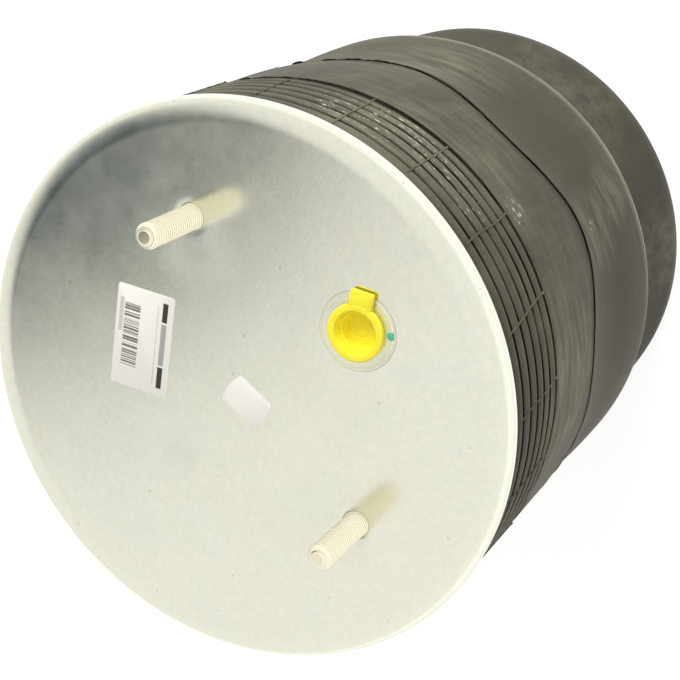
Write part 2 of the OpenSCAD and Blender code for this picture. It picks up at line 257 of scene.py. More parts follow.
def arc(centre, radius, first, last, steps):
    """Points of (radius, height) along an arc between two angles in degrees."""
    angles = [math.radians(first + (last - first) * i / steps) for i in range(steps + 1)]
    return [(centre[0] + radius * math.cos(a), centre[1] + radius * math.sin(a)) for a in angles]


def steps_down(high, low, step):
    """Even heights from high down to low."""
    count = max(1, round((high - low) / step))
    return [high + (low - high) * i / count for i in range(count + 1)]


def side_step(points, distance):
    """Moves a path of (radius, height) points to the right of its direction."""
    moved = []
    for i, point in enumerate(points):
        before = Vector(points[max(i - 1, 0)])
        after = Vector(points[min(i + 1, len(points) - 1)])
        along = (after - before).normalized()
        moved.append((point[0] + distance * along.y, point[1] - distance * along.x))
    return moved


def only_verts(geometry):
    return [g for g in geometry if isinstance(g, bmesh.types.BMVert)]


def spin_part(bm, points, closed, centre, steps, angle, rise):
    """Spins a profile of (radius, height) points through an angle and gives all that it made."""
    old = set(bm.verts)
    verts = [bm.verts.new((centre[0] + r, centre[1], z)) for r, z in points]
    pairs = list(zip(verts, verts[1:]))
    if closed:
        pairs.append((verts[-1], verts[0]))
    edges = [bm.edges.new(pair) for pair in pairs]
    bmesh.ops.spin(
        bm, geom=verts + edges, cent=(centre[0], centre[1], 0), axis=(0, 0, 1), angle=angle, steps=steps,
        dvec=(0, 0, rise / steps),
    )
    made = [v for v in bm.verts if v not in old]
    sides = {e for v in made for e in v.link_edges}
    faces = {f for v in made for f in v.link_faces}
    return made + list(sides) + list(faces)


def repeat(bm, part, matrix):
    """Adds a moved copy of a part and gives both together."""
    copied = bmesh.ops.duplicate(bm, geom=part)["geom"]
    bmesh.ops.transform(bm, matrix=matrix, verts=only_verts(copied))
    return part + copied


def spin_profile(bm, points, closed=False, centre=(0, 0), steps=RING_STEPS):
    """Turns a profile of (radius, height) points about an upright axis, quarter by quarter."""
    part = spin_part(bm, points, closed, centre, steps // 4, math.tau / 4, 0.0)
    there = Matrix.Translation((centre[0], centre[1], 0))
    for angle in (math.tau / 4, math.tau / 2):
        part = repeat(bm, part, there @ Matrix.Rotation(angle, 4, "Z") @ there.inverted())
    bmesh.ops.remove_doubles(bm, verts=only_verts(part), dist=1e-6)


def tidy(bm, doubles=1e-7):
    """Merges doubled vertices, then turns all faces outwards."""
    bmesh.ops.remove_doubles(bm, verts=bm.verts, dist=doubles)
    bmesh.ops.dissolve_degenerate(bm, edges=bm.edges, dist=doubles)
    bmesh.ops.recalc_face_normals(bm, faces=bm.faces)


def make_piece(name, bm, material, sharp=35.0):
    """Turns a bmesh into a piece with smooth faces and sharp edges."""
    mesh = bpy.data.meshes.new(name)
    bm.to_mesh(mesh)
    bm.free()
    piece = bpy.data.objects.new(name, mesh)
    bpy.context.scene.collection.objects.link(piece)
    mesh.materials.append(material)
    mesh.shade_smooth()
    mesh.set_sharp_from_angle(angle=math.radians(sharp))
    return piece


def make_lines(name, lines, radius, material, nub=1.0):
    """Turns lists of points, each with a swell, into one mesh of thin round lines, swollen to a nub."""
    curve = bpy.data.curves.new(name, "CURVE")
    curve.dimensions = "3D"
    curve.bevel_depth = radius
    curve.bevel_resolution = 1
    curve.use_fill_caps = True
    for points, swell in lines:
        spline = curve.splines.new("POLY")
        last = len(points) - 1
        spline.points.add(last)
        for i, point in enumerate(points):
            spline.points[i].co = (*point, 1.0)
            width = swell * (0.45 if i in (0, last) else 1.0)
            spline.points[i].radius = width * (nub if i == last - 1 else 1.0)
    drawn = bpy.data.objects.new("drawn", curve)
    mesh = bpy.data.meshes.new_from_object(drawn)
    bm = bmesh.new()
    bm.from_mesh(mesh)
    bpy.data.objects.remove(drawn)
    bpy.data.meshes.remove(mesh)
    tidy(bm)
    return make_piece(name, bm, material, sharp=60.0)


def extrude_outline(bm, outline, low, high, edge):
    """Extrudes a flat outline between two heights, with a bevelled upper edge."""
    face = bm.faces.new([bm.verts.new((x, y, low)) for x, y in outline])
    raised = bmesh.ops.extrude_face_region(bm, geom=[face])["geom"]
    top = set(only_verts(raised))
    bmesh.ops.translate(bm, verts=list(top), vec=(0, 0, high - low))
    rim = [e for e in bm.edges if all(v in top for v in e.verts)]
    bmesh.ops.bevel(bm, geom=rim, offset=edge, segments=2, profile=0.5, affect="EDGES", material=-1)


def ripple(place, scale, seed):
    """Smooth noise from -1 to 1 at a place."""
    return noise.noise(Vector(place) * scale + Vector((seed, seed * 1.7, seed * 2.3)))


def hold(share):
    """Holds a share between 0 and 1."""
    return min(max(share, 0.0), 1.0)


def hill(value, top, width):
    """A smooth hill, one high at its top."""
    return math.exp(-((value - top) / width) ** 2)


# Shader helpers

def set_inputs(tree, made, inputs):
    """Links or sets a node's inputs; a plain colour gets its alpha."""
    for key, value in inputs.items():
        socket = made.inputs[key]
        if isinstance(value, NodeSocket):
            tree.links.new(value, socket)
        elif socket.type == "RGBA" and len(value) == 3:
            socket.default_value = (*value, 1.0)
        else:
            socket.default_value = value


def put(tree, kind, inputs=None, **values):
    """Adds a node, sets its values, and links or sets its inputs."""
    made = tree.nodes.new(kind)
    for key, value in values.items():
        setattr(made, key, value)
    set_inputs(tree, made, inputs or {})
    return made


def maths(tree, operation, a, b, clamp=False):
    return put(tree, "ShaderNodeMath", {0: a, 1: b}, operation=operation, use_clamp=clamp).outputs[0]


def plus(tree, a, b):
    return maths(tree, "ADD", a, b)


def times(tree, a, b, clamp=False):
    return maths(tree, "MULTIPLY", a, b, clamp)


def larger(tree, a, b):
    return maths(tree, "MAXIMUM", a, b)


def heaped(tree, *layers):
    """The sum of several masks, each given with its weight."""
    total = None
    for mask, weight in layers:
        share = times(tree, mask, weight)
        total = share if total is None else plus(tree, total, share)
    return total


def remap(tree, value, low, high, to_low=0.0, to_high=1.0, kind="LINEAR"):
    ends = {"Value": value, "From Min": low, "From Max": high, "To Min": to_low, "To Max": to_high}
    return put(tree, "ShaderNodeMapRange", ends, interpolation_type=kind).outputs["Result"]


def spread(tree, cloud, low, high):
    """Spreads noise, which seldom leaves its middle, between two values."""
    return remap(tree, cloud, 0.3, 0.7, low, high)


def between(tree, value, low, rise, fall, high):
    """One from rise to fall, fading to nothing at low and high."""
    return times(tree, remap(tree, value, low, rise), remap(tree, value, high, fall))


def noise_value(tree, place, scale, detail=4.0, rough=0.55, distortion=0.0):
    inputs = {
        "Vector": place, "Scale": scale, "Detail": detail, "Roughness": rough, "Distortion": distortion,
    }
    return put(tree, "ShaderNodeTexNoise", inputs).outputs["Fac"]


def waves(tree, place, scale, distortion, **values):
    inputs = {"Vector": place, "Scale": scale, "Distortion": distortion, "Detail": 2.0}
    return put(tree, "ShaderNodeTexWave", inputs, **values).outputs["Fac"]


def bumped(tree, height, distance):
    """The normal of a surface that a height raises by up to a distance."""
    inputs = {"Height": height, "Distance": distance, "Strength": 1.0}
    return put(tree, "ShaderNodeBump", inputs).outputs["Normal"]


def blend_colour(tree, factor, a, b, kind="MIX"):
    return put(tree, "ShaderNodeMix", {0: factor, 6: a, 7: b}, data_type="RGBA", blend_type=kind).outputs[2]


def ramp(tree, value, stops):
    """A colour ramp on a value, with stops of (place, colour)."""
    made = put(tree, "ShaderNodeValToRGB", {"Fac": value})
    for i, (place, shade) in enumerate(stops):
        stop = made.color_ramp.elements[i] if i < 2 else made.color_ramp.elements.new(place)
        stop.position = place
        stop.color = (*shade, 1.0)
    return made.outputs["Color"]


def shaded(shade, factor):
    """A colour made lighter or darker."""
    return tuple(min(1.0, c * factor) for c in shade)


def group(name, output, **inputs):
    """A new shader node group: its tree, its inputs and its output. An input of None takes a vector."""
    tree = bpy.data.node_groups.new(name, "ShaderNodeTree")
    for label, value in inputs.items():
        kind = "NodeSocketVector" if value is None else "NodeSocketFloat"
        socket = tree.interface.new_socket(label, in_out="INPUT", socket_type=kind)
        if value is not None:
            socket.default_value = value
    kind = "NodeSocketVector" if output == "Normal" else "NodeSocketFloat"
    tree.interface.new_socket(output, in_out="OUTPUT", socket_type=kind)
    return tree, tree.nodes.new("NodeGroupInput").outputs, tree.nodes.new("NodeGroupOutput").inputs[0]


def effect(tree, name, **inputs):
    """Places a node group, links or sets its inputs, and gives its output."""
    made = put(tree, "ShaderNodeGroup", node_tree=bpy.data.node_groups[name])
    set_inputs(tree, made, inputs)
    return made.outputs[0]


def film(tree, place, scale, along, cover):
    return effect(tree, "Film", Place=place, Scale=scale, Along=along, Cover=cover)


def flecks(tree, place, scale, size, density, along=1.0):
    return effect(tree, "Flecks", Place=place, Scale=scale, Along=along, Size=size, Density=density)


def grain(tree, place, scale, height):
    return effect(tree, "Grain", Place=place, Scale=scale, Height=height)


def squeezed(tree, given):
    """A group's place, drawn out or squeezed along the spring's axis."""
    squeeze = put(tree, "ShaderNodeCombineXYZ", {"X": 1.0, "Y": 1.0, "Z": given["Along"]}).outputs[0]
    vectors = {0: given["Place"], 1: squeeze}
    return put(tree, "ShaderNodeVectorMath", vectors, operation="MULTIPLY").outputs[0]


def build_film():
    """Clouds of dust or wear, drawn out or squeezed along the spring's axis."""
    tree, given, out = group("Film", "Mask", Place=None, Scale=20.0, Along=1.0, Cover=0.5)
    cloud = noise_value(tree, squeezed(tree, given), given["Scale"], detail=7.0, rough=0.62, distortion=0.4)
    floor = maths(tree, "SUBTRACT", 0.85, given["Cover"])
    tree.links.new(times(tree, maths(tree, "SUBTRACT", cloud, floor), 3.0, clamp=True), out)


def build_patch():
    """A soft round patch about a centre."""
    tree, given, out = group("Patch", "Mask", Place=None, Centre=None, Radius=0.02)
    ends = {0: given["Place"], 1: given["Centre"]}
    away = put(tree, "ShaderNodeVectorMath", ends, operation="DISTANCE").outputs["Value"]
    share = maths(tree, "DIVIDE", away, given["Radius"])
    tree.links.new(remap(tree, share, 1.0, 0.25, kind="SMOOTHSTEP"), out)


def build_flecks():
    """Small scattered flecks, as of talc or plating, squeezed along the spring's axis."""
    tree, given, out = group("Flecks", "Mask", Place=None, Scale=500.0, Along=1.0, Size=0.3, Density=0.3)
    cells = put(tree, "ShaderNodeTexVoronoi", {"Vector": squeezed(tree, given), "Scale": given["Scale"]})
    near = remap(tree, cells.outputs["Distance"], given["Size"], 0.0)
    red = put(tree, "ShaderNodeSeparateColor", {0: cells.outputs["Color"]}).outputs[0]
    kept = maths(tree, "LESS_THAN", red, given["Density"])
    ragged = remap(tree, noise_value(tree, given["Place"], 1400.0, detail=2.0), 0.35, 0.60)
    mask = times(tree, times(tree, near, kept), ragged)
    tree.links.new(times(tree, mask, 3.0, clamp=True), out)


def build_grain():
    """Fine surface grain as a bump."""
    tree, given, out = group("Grain", "Normal", Place=None, Scale=1200.0, Height=0.00005)
    fine = noise_value(tree, given["Place"], given["Scale"], rough=0.6)
    tree.links.new(bumped(tree, fine, given["Height"]), out)


def new_material(name, bends=False):
    """An empty material: itself, its tree, its shader and the place on the piece, as it is at rest."""
    material = bpy.data.materials.new(name)
    material.use_nodes = True
    tree = material.node_tree
    shader = next(n for n in tree.nodes if n.type == "BSDF_PRINCIPLED")
    if bends:
        place = put(tree, "ShaderNodeAttribute", attribute_name="rest_place").outputs["Vector"]
    else:
        place = tree.nodes.new("ShaderNodeTexCoord").outputs["Object"]
    return material, tree, shader, place


def finish_with(tree, shader, **values):
    """Links or sets the shader's sockets, named with underscores for spaces."""
    set_inputs(tree, shader, {key.replace("_", " "): value for key, value in values.items()})


def marked(tree, place, marks):
    """The strongest of several patches of (centre in millimetres, radius, weight)."""
    total = None
    for centre, radius, weight in marks:
        spot = tuple(c * MM for c in centre)
        mask = times(tree, effect(tree, "Patch", Place=place, Centre=spot, Radius=radius), weight)
        total = mask if total is None else larger(tree, total, mask)
    return total


# Places of marks that the photograph shows, in millimetres, with a radius in metres and a weight
TALC_MARKS = [
    ((90.5, -99.0, 268), 0.024, 0.9), ((71.5, -113.5, 262), 0.028, 1.0), ((48.0, -125.0, 264), 0.022, 0.7),
    ((25.6, -131.7, 267), 0.013, 0.9), ((11.9, -133.7, 230), 0.010, 1.6),
    ((-14.9, -133.5, 153), 0.005, 1.2), ((-10.3, -134.1, 278), 0.005, 1.0),
]
SMEAR_MARKS = [
    ((-7.0, -133.8, 117), 0.022, 0.55), ((-52.4, -123.5, 205), 0.026, 0.30),
    ((-63.0, -118.5, 215), 0.026, 0.30), ((94.7, -94.7, 141), 0.050, 0.40),
    ((11.9, -133.7, 230), 0.016, 0.30), ((-18.7, -132.7, 148), 0.030, 0.40),
    ((95.0, -95.0, 175), 0.040, 0.25), ((-30.0, -130.0, 200), 0.035, 0.15),
    ((-74.6, -111.3, 222), 0.055, 0.60), ((68.9, -115.5, 262), 0.060, 0.40),
    ((50.8, -124.0, 218), 0.045, 0.25), ((107.2, -81.2, 262), 0.040, 0.15),
    ((-45.0, -126.0, 222), 0.040, 0.30),
]
PISTON_MARKS = [
    ((40.0, -112.0, 22), 0.028, 0.3), ((58.0, -104.0, 30), 0.022, 0.4), ((24.0, -117.0, 30), 0.018, 0.3),
    ((79.0, -97.5, 20), 0.022, 0.25), ((-54.3, -104.7, 16), 0.040, 0.45),
]
PLATE_MARKS = [
    ((101.5, 18.5, 304), 0.010, 0.30), ((96.9, 6.3, 304), 0.009, 0.30), ((85.0, -54.3, 304), 0.007, 0.35),
    ((115.2, 4.9, 304), 0.006, 0.35), ((106.0, -15.5, 304), 0.0016, 1.0), ((67.0, -19.8, 304), 0.012, 0.25),
    ((-16.3, 45.2, 304), 0.014, 0.22), ((-25.9, -84.8, 304), 0.010, 0.22),
]

# Where pressing in the studs has dulled the plate round them, and how dull that may get
STUD_HALOS = [((-73.0, -14.0, 304), 0.034, 1.0), ((66.0, -21.0, 304), 0.027, 1.0)]
DULLEST_PLATE = 0.268

# Heights of the painted highlight along the lobe's fold, and of the wall where dust is wiped: from nothing
# to full to nothing
FOLD_HIGHLIGHT_HEIGHTS = (0.0785, 0.0820, 0.0860, 0.0950)
WIPED_HEIGHTS = (0.096, 0.118, 0.170, 0.186)

ZINC_TINTS = [
    (0.30, (0.76, 0.84, 0.86)), (0.42, (0.86, 0.86, 0.78)), (0.50, (0.82, 0.84, 0.80)),
    (0.60, (0.90, 0.86, 0.76)), (0.72, (0.84, 0.79, 0.82)),
]

# Plain bars on the label: from and to along it, from and to across it in millimetres, and how dark
LABEL_BARS = [
    (-21.8, -12.2, 9.4, 12.2, 1.0), (10.6, 21.4, 9.4, 12.2, 1.0), (-11.2, 9.6, 9.4, 12.2, 0.55),
    (-20.0, 20.0, 6.9, 7.3, 0.35), (-18.8, -1.8, -13.8, -11.7, 0.30),
]


def rubber(name, dust=0.5, marks=True, bends=True):
    """Dull rubber with dust, faint axial streaks and powder left by the mould, with painted shade in its
    grooves and lines and a painted highlight along the lobe's fold.
    """
    finish = chosen().finish
    material, tree, shader, place = new_material(name, bends)
    cloud = film(tree, place, scale=9.0, along=0.8, cover=0.50)
    base = blend_colour(tree, cloud, finish.rubber, finish.rubber_worn)
    painted_shade = put(tree, "ShaderNodeAttribute", attribute_name="painted_shade").outputs["Fac"]
    dusty = heaped(
        tree,
        (film(tree, place, scale=26.0, along=0.5, cover=dust * 0.72), 0.20),
        (film(tree, place, scale=85.0, along=0.08, cover=dust * 0.70), 0.14),
        (film(tree, place, scale=14.0, along=16.0, cover=dust * 0.66), 0.22),
        (flecks(tree, place, scale=300.0, size=0.22, density=0.12), 0.30),
        (between(tree, painted_shade, 0.0, 0.12, 0.12, 0.35), 0.14),
    )
    if marks:
        height = put(tree, "ShaderNodeSeparateXYZ", {0: place}).outputs[2]
        wiped = between(tree, height, *WIPED_HEIGHTS)
        dusty = times(tree, dusty, remap(tree, wiped, 0.0, 1.0, 1.0, 0.32))
        combed = film(tree, place, scale=20.0, along=22.0, cover=0.62)
        fold_highlight = times(tree, between(tree, height, *FOLD_HIGHLIGHT_HEIGHTS), combed)
        # Painted highlight: a dust-coloured light line along the lobe's fold, added to the dust mask
        dusty = plus(tree, dusty, times(tree, fold_highlight, 1.25))
        broken = film(tree, place, scale=40.0, along=4.5, cover=0.50)
        dusty = plus(tree, dusty, times(tree, marked(tree, place, SMEAR_MARKS), broken))
    base = blend_colour(tree, dusty, base, finish.dust)
    if marks:
        small = flecks(tree, place, scale=620.0, size=0.38, density=0.10)
        dashes = flecks(tree, place, scale=300.0, size=0.50, density=0.20, along=3.4)
        talc = times(tree, marked(tree, place, TALC_MARKS), larger(tree, small, dashes), clamp=True)
        base = blend_colour(tree, talc, base, finish.talc)
    # Painted shade: near-black where the vertices carry painted shade
    base = blend_colour(tree, remap(tree, painted_shade, 0.15, 0.65), base, (0.006, 0.006, 0.004))
    rough = larger(tree, remap(tree, cloud, 0.0, 1.0, 0.55, 0.70), remap(tree, painted_shade, 0.1, 0.6, 0.5, 1.0))
    fine = grain(tree, place, scale=1500.0, height=0.00005)
    finish_with(
        tree, shader, Base_Color=base, Roughness=rough, Normal=fine, Specular_IOR_Level=0.11,
        Sheen_Weight=0.20, Sheen_Roughness=0.35, Sheen_Tint=(1.0, 0.95, 0.80, 1.0),
    )
    return material


def zinc(name, cool, warm, roughness=0.215, scuffs=True):
    """Zinc plate: satin, faintly tinted, with specks, smudges and fine scuffs."""
    material, tree, shader, place = new_material(name)
    cloud = film(tree, place, scale=7.0, along=1.0, cover=0.50)
    base = blend_colour(tree, times(tree, cloud, 0.5), cool, warm)
    hue = noise_value(tree, place, 22.0, detail=3.0, rough=0.5, distortion=1.2)
    base = blend_colour(tree, 0.22, base, ramp(tree, hue, ZINC_TINTS))
    spangle = spread(tree, noise_value(tree, place, 260.0, detail=5.0, rough=0.7), 0.93, 1.0)
    base = blend_colour(tree, 1.0, base, spangle, "MULTIPLY")
    smudge = noise_value(tree, place, 34.0, detail=5.0, rough=0.65)
    rough = spread(tree, smudge, roughness - 0.035, roughness + 0.03)
    solid = 1.0
    if scuffs:
        specks = flecks(tree, place, scale=150.0, size=0.16, density=0.10)
        base = blend_colour(tree, times(tree, specks, 0.35), base, (0.42, 0.43, 0.40))
        broken = film(tree, place, scale=90.0, along=1.0, cover=0.50)
        worn = times(tree, marked(tree, place, PLATE_MARKS), broken)
        base = blend_colour(tree, worn, base, (0.55, 0.57, 0.55))
        halo = marked(tree, place, STUD_HALOS)
        rough = maths(tree, "MINIMUM", plus(tree, rough, times(tree, halo, 0.06)), DULLEST_PLATE)
        solid = remap(tree, halo, 0.0, 1.0, 1.0, 0.82)
    fine = grain(tree, place, scale=700.0, height=0.000012)
    finish_with(tree, shader, Base_Color=base, Roughness=rough, Normal=fine, Metallic=solid)
    return material


def turned_zinc(name, centre):
    """Zinc plated bush with the rings of the turning tool on its face."""
    finish = chosen().finish
    material, tree, shader, place = new_material(name)
    moved = {"Vector": place, "Location": (-centre.x, -centre.y, 0)}
    about = put(tree, "ShaderNodeMapping", moved).outputs[0]
    rings = waves(tree, about, 900.0, 0.6, wave_type="RINGS", rings_direction="Z")
    cloud = noise_value(tree, place, 60.0)
    finish_with(
        tree, shader, Base_Color=blend_colour(tree, cloud, finish.zinc, finish.zinc_warm), Metallic=1.0,
        Roughness=spread(tree, cloud, 0.36, 0.44), Normal=bumped(tree, rings, 0.00002),
    )
    return material


def metal(name, shade, roughness):
    """Plain plated or turned metal with slight patches of wear."""
    material, tree, shader, place = new_material(name)
    patches = noise_value(tree, place, 90.0, detail=5.0, rough=0.6)
    finish_with(
        tree, shader, Base_Color=blend_colour(tree, patches, shade, shaded(shade, 1.18)), Metallic=1.0,
        Roughness=spread(tree, patches, roughness - 0.05, roughness + 0.07),
        Normal=grain(tree, place, scale=1300.0, height=0.00002),
    )
    return material


def yellow_plastic(name):
    """Soft, slightly waxy moulded plastic."""
    finish = chosen().finish
    material, tree, shader, place = new_material(name)
    patches = noise_value(tree, place, 120.0, detail=3.0)
    finish_with(
        tree, shader, Base_Color=blend_colour(tree, patches, finish.plug, (0.99, 0.87, 0.06)),
        Roughness=spread(tree, patches, 0.30, 0.40), Normal=grain(tree, place, scale=900.0, height=0.00002),
        Subsurface_Weight=0.12, Subsurface_Scale=0.002, Specular_IOR_Level=0.4,
    )
    return material


def moulding(name, marks=True):
    """Black glass-filled plastic, satin, with handling smears."""
    finish = chosen().finish
    material, tree, shader, place = new_material(name)
    cloud = film(tree, place, scale=12.0, along=0.7, cover=0.52)
    base = blend_colour(tree, cloud, finish.moulding, shaded(finish.moulding, 1.7))
    dusty = times(tree, film(tree, place, scale=40.0, along=0.6, cover=0.36), 0.09)
    if marks:
        broken = film(tree, place, scale=110.0, along=0.9, cover=0.46)
        dusty = plus(tree, dusty, times(tree, marked(tree, place, PISTON_MARKS), broken))
    finish_with(
        tree, shader, Base_Color=blend_colour(tree, times(tree, dusty, 0.8), base, finish.dust),
        Roughness=remap(tree, cloud, 0.0, 1.0, 0.48, 0.60), Specular_IOR_Level=0.22,
        Normal=grain(tree, place, scale=1100.0, height=0.00004),
    )
    return material


def cord_fabric(name, slant):
    """Rubbered cord ply: parallel cords at a slant to the spring's axis."""
    finish = chosen().finish
    material, tree, shader, place = new_material(name, bends=True)
    leaned = put(tree, "ShaderNodeMapping", {"Vector": place, "Rotation": (slant, 0, 0)}).outputs[0]
    cords = waves(tree, leaned, 260.0, 0.4, bands_direction="Z")
    finish_with(
        tree, shader, Base_Color=blend_colour(tree, cords, shaded(finish.cord, 0.45), finish.cord),
        Roughness=0.8, Normal=bumped(tree, cords, 0.0002),
    )
    return material


def bead_wire(name):
    """Bronzed wires, wound side by side into a hoop."""
    finish = chosen().finish
    material, tree, shader, place = new_material(name)
    strands = waves(tree, place, 420.0, 0.3, bands_direction="Z")
    finish_with(
        tree, shader, Base_Color=blend_colour(tree, strands, shaded(finish.wire, 0.5), finish.wire),
        Roughness=remap(tree, strands, 0.0, 1.0, 0.45, 0.30), Metallic=1.0,
        Normal=bumped(tree, strands, 0.0002),
    )
    return material


def stripe(tree, value, low, high):
    """One between two distances in millimetres and nothing outside them, with soft edges."""
    soft = 0.08 * MM
    low, high = low * MM, high * MM
    return between(tree, value, low - soft, low + soft, high - soft, high + soft)


def label_ink(tree, along, across):
    """Plain bars across the label, as a mask of ink."""
    tight = {"W": times(tree, along, 900.0), "Scale": 1.0, "Detail": 1.0}
    uneven = put(tree, "ShaderNodeTexNoise", tight, noise_dimensions="1D").outputs["Fac"]
    columns = times(tree, maths(tree, "GREATER_THAN", uneven, 0.5), 0.85)
    ink = None
    for start, end, low, high, dark in LABEL_BARS + [(-17.3, 14.8, -11.0, -2.5, columns)]:
        bar = times(tree, stripe(tree, along, start, end), stripe(tree, across, low, high))
        bar = times(tree, bar, dark)
        ink = bar if ink is None else larger(tree, ink, bar)
    return ink


def paper(name, centre=None):
    """Matt paper with faint fibres, blank or with plain bars about a centre."""
    sizes, finish = chosen().paper, chosen().finish
    material, tree, shader, place = new_material(name)
    fibres = noise_value(tree, place, 420.0, detail=5.0, rough=0.7)
    sheet = blend_colour(tree, fibres, shaded(finish.paper, 0.96), finish.paper)
    if centre is not None:
        lying = {"Vector": place, "Location": (centre.x, centre.y, 0), "Rotation": (0, 0, sizes.label_turn)}
        square = put(tree, "ShaderNodeMapping", lying, vector_type="TEXTURE").outputs[0]
        split = put(tree, "ShaderNodeSeparateXYZ", {0: square}).outputs
        sheet = blend_colour(tree, label_ink(tree, split[0], split[1]), sheet, finish.ink)
    finish_with(
        tree, shader, Base_Color=sheet, Roughness=0.6, Specular_IOR_Level=0.3,
        Normal=grain(tree, place, scale=600.0, height=0.00002),
    )
    return material


def paint(name):
    """A dab of thick green paint."""
    finish = chosen().finish
    material, tree, shader, place = new_material(name)
    patches = noise_value(tree, place, 700.0, detail=3.0)
    thin = tuple(c * 1.25 + 0.03 for c in finish.paint)
    finish_with(
        tree, shader, Base_Color=blend_colour(tree, patches, finish.paint, thin), Roughness=0.38,
        Normal=grain(tree, place, scale=1600.0, height=0.00006),
    )
    return material


def dress(node, material):
    """Gives a kept CAD node its finish."""
    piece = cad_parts[node]
    if not piece.material_slots:
        piece.data.materials.append(material)
    for held in piece.material_slots:
        held.material = material


# Forms of the sleeve and the piston

def piston_radius(z):
    """Outer radius of the piston: a slim neck that flares to the base."""
    sizes = chosen().piston
    top = sizes.deck_z - sizes.shoulder_round
    share = hold((top - z) / (top - sizes.foot))
    return sizes.shoulder + (sizes.base - sizes.shoulder) * share ** sizes.flare


def wall_radius(z):
    """Outer radius of the empty sleeve above the lobe, with its slack waist."""
    sizes = chosen().sleeve
    return sizes.wall - sizes.waist_in * hill(z, sizes.waist_z, sizes.waist_spread)


def groove_z(i):
    """Height of a groove of the ribbed band, counted down from the first."""
    sizes = chosen().sleeve
    return FACE_Z - sizes.first_groove - sizes.rib_pitch * i + sizes.rib_shrink * i * (i - 1) / 2


def lobe():
    """The rolled lobe: its middle's radius, its own radius and the flare's angle in degrees."""
    sizes = chosen().sleeve
    span = 10 * MM
    rise = piston_radius(sizes.lobe_z - span / 2) - piston_radius(sizes.lobe_z + span / 2)
    flare = math.atan(rise / span)
    room = wall_radius(sizes.lobe_z) - piston_radius(sizes.lobe_z)
    radius = (room * math.cos(flare) - sizes.gap) / (1 + math.cos(flare))
    return wall_radius(sizes.lobe_z) - radius, radius, math.degrees(flare)


def smooth_wall():
    """The sleeve's smooth outside from the crimp down to the lobe's lowest point."""
    sizes, plate = chosen().sleeve, chosen().plate
    middle_r, radius = lobe()[:2]
    neck = [
        (plate.neck, FACE_Z - plate.sheet - 0.2 * MM), (plate.neck, CURL_Z),
        (plate.neck + 1.4 * MM, CURL_Z - 3 * MM), (sizes.wall - 0.9 * MM, CURL_Z - 6.5 * MM),
        (sizes.wall, CURL_Z - 12 * MM),
    ]
    heights = steps_down(groove_z(sizes.ribs), sizes.lobe_z + 4 * MM, 4 * MM)
    wall = [(wall_radius(z), z) for z in heights]
    return neck + wall + arc((middle_r, sizes.lobe_z), radius, 0, -90, 12)


def smooth_roll():
    """The sleeve's smooth outside from the lobe's lowest point up the piston to the bead."""
    sizes, piston = chosen().sleeve, chosen().piston
    middle_r, radius, flare = lobe()
    shoulder_z = piston.deck_z - piston.shoulder_round
    heights = steps_down(shoulder_z - 2 * MM, sizes.lobe_z + 8 * MM, 4 * MM)
    climb = [(piston_radius(z) + sizes.gap, z) for z in reversed(heights)]
    centre = (piston.shoulder - piston.shoulder_round, shoulder_z)
    shoulder = arc(centre, piston.shoulder_round + sizes.gap, 0, 90, 8)
    bead = [(sizes.bead_out, piston.deck_z + sizes.gap)]
    return arc((middle_r, sizes.lobe_z), radius, -90, flare - 180, 12) + climb + shoulder + bead


# How dark the painted shade gets on the band's shaded side, and how much painted shade darkens the torn
# flash
DARKEST_BAND_SHADE = 0.28
FLASH_SHADE = 0.48

# One side of a groove, from its edge to its bed: shares of its depth and of half its width
GROOVE_SIDE = [(0.04, 1.5), (0.12, 1.15), (0.45, 0.75), (1.0, 0.45)]

# The step at the parting line: outwards and upwards from it in millimetres
SEAM_STEP = [
    (0.02, 4.0), (0.26, 2.2), (0.28, 1.6), (-1.0, 1.1), (-1.0, -1.1), (0.12, -1.5), (0.08, -2.2), (0, -4.0),
]


def rib_path(top):
    """Ribs and soft-edged grooves of the band, down to the dark step at its end."""
    sizes = chosen().sleeve
    half = sizes.groove_width / 2
    crown = sizes.band
    path = []
    above = top
    for i in range(sizes.ribs):
        z = groove_z(i)
        path += [(crown, above + (z + half - above) * share) for share in (0.35, 0.65)]
        path += [(crown - sizes.groove * down, z + half * up) for down, up in GROOVE_SIDE]
        path += [(crown - sizes.groove * down, z - half * up) for down, up in reversed(GROOVE_SIDE)]
        above = z - half
    end = groove_z(sizes.ribs)
    path += [(crown, above + (end - above) * share) for share in (0.35, 0.7)]
    bed = sizes.wall - 1.3 * MM
    return path + [
        (crown - 0.05 * MM, end + 0.9 * MM), (crown - 0.6 * MM, end + 0.4 * MM), (bed, end),
        (bed, end - 1.9 * MM), (sizes.wall - 0.45 * MM, end - 2.6 * MM),
        (wall_radius(end - 3.6 * MM), end - 3.6 * MM),
    ]


def cover_wall():
    """The cover's outside from the crimp to the lobe, with ribs, grooves and parting line."""
    sizes, plate = chosen().sleeve, chosen().plate
    curl = FACE_Z - CURL_Z - plate.corner
    top = CURL_Z - 0.4 * MM
    path = [
        (plate.radius - plate.corner, FACE_Z - plate.sheet - 0.6 * MM),
        (plate.radius - plate.sheet, FACE_Z - plate.corner),
        (plate.radius - curl, CURL_Z + plate.sheet), (plate.neck, CURL_Z + plate.sheet),
        (plate.neck, CURL_Z), (sizes.band - 1.3 * MM, top), (sizes.band - 0.45 * MM, top - 0.9 * MM),
    ]
    path += rib_path(top)
    seam = sizes.parting_z
    end = groove_z(sizes.ribs)
    path += [(wall_radius(z), z) for z in steps_down(end - 6 * MM, seam + 7 * MM, 5 * MM)]
    path += [(wall_radius(seam) + out * MM, seam + up * MM) for out, up in SEAM_STEP]
    path += [(wall_radius(z), z) for z in steps_down(seam - 7 * MM, sizes.lobe_z + 4 * MM, 5 * MM)]
    middle_r, radius = lobe()[:2]
    return path + arc((middle_r, sizes.lobe_z), radius, 0, -90, 16)


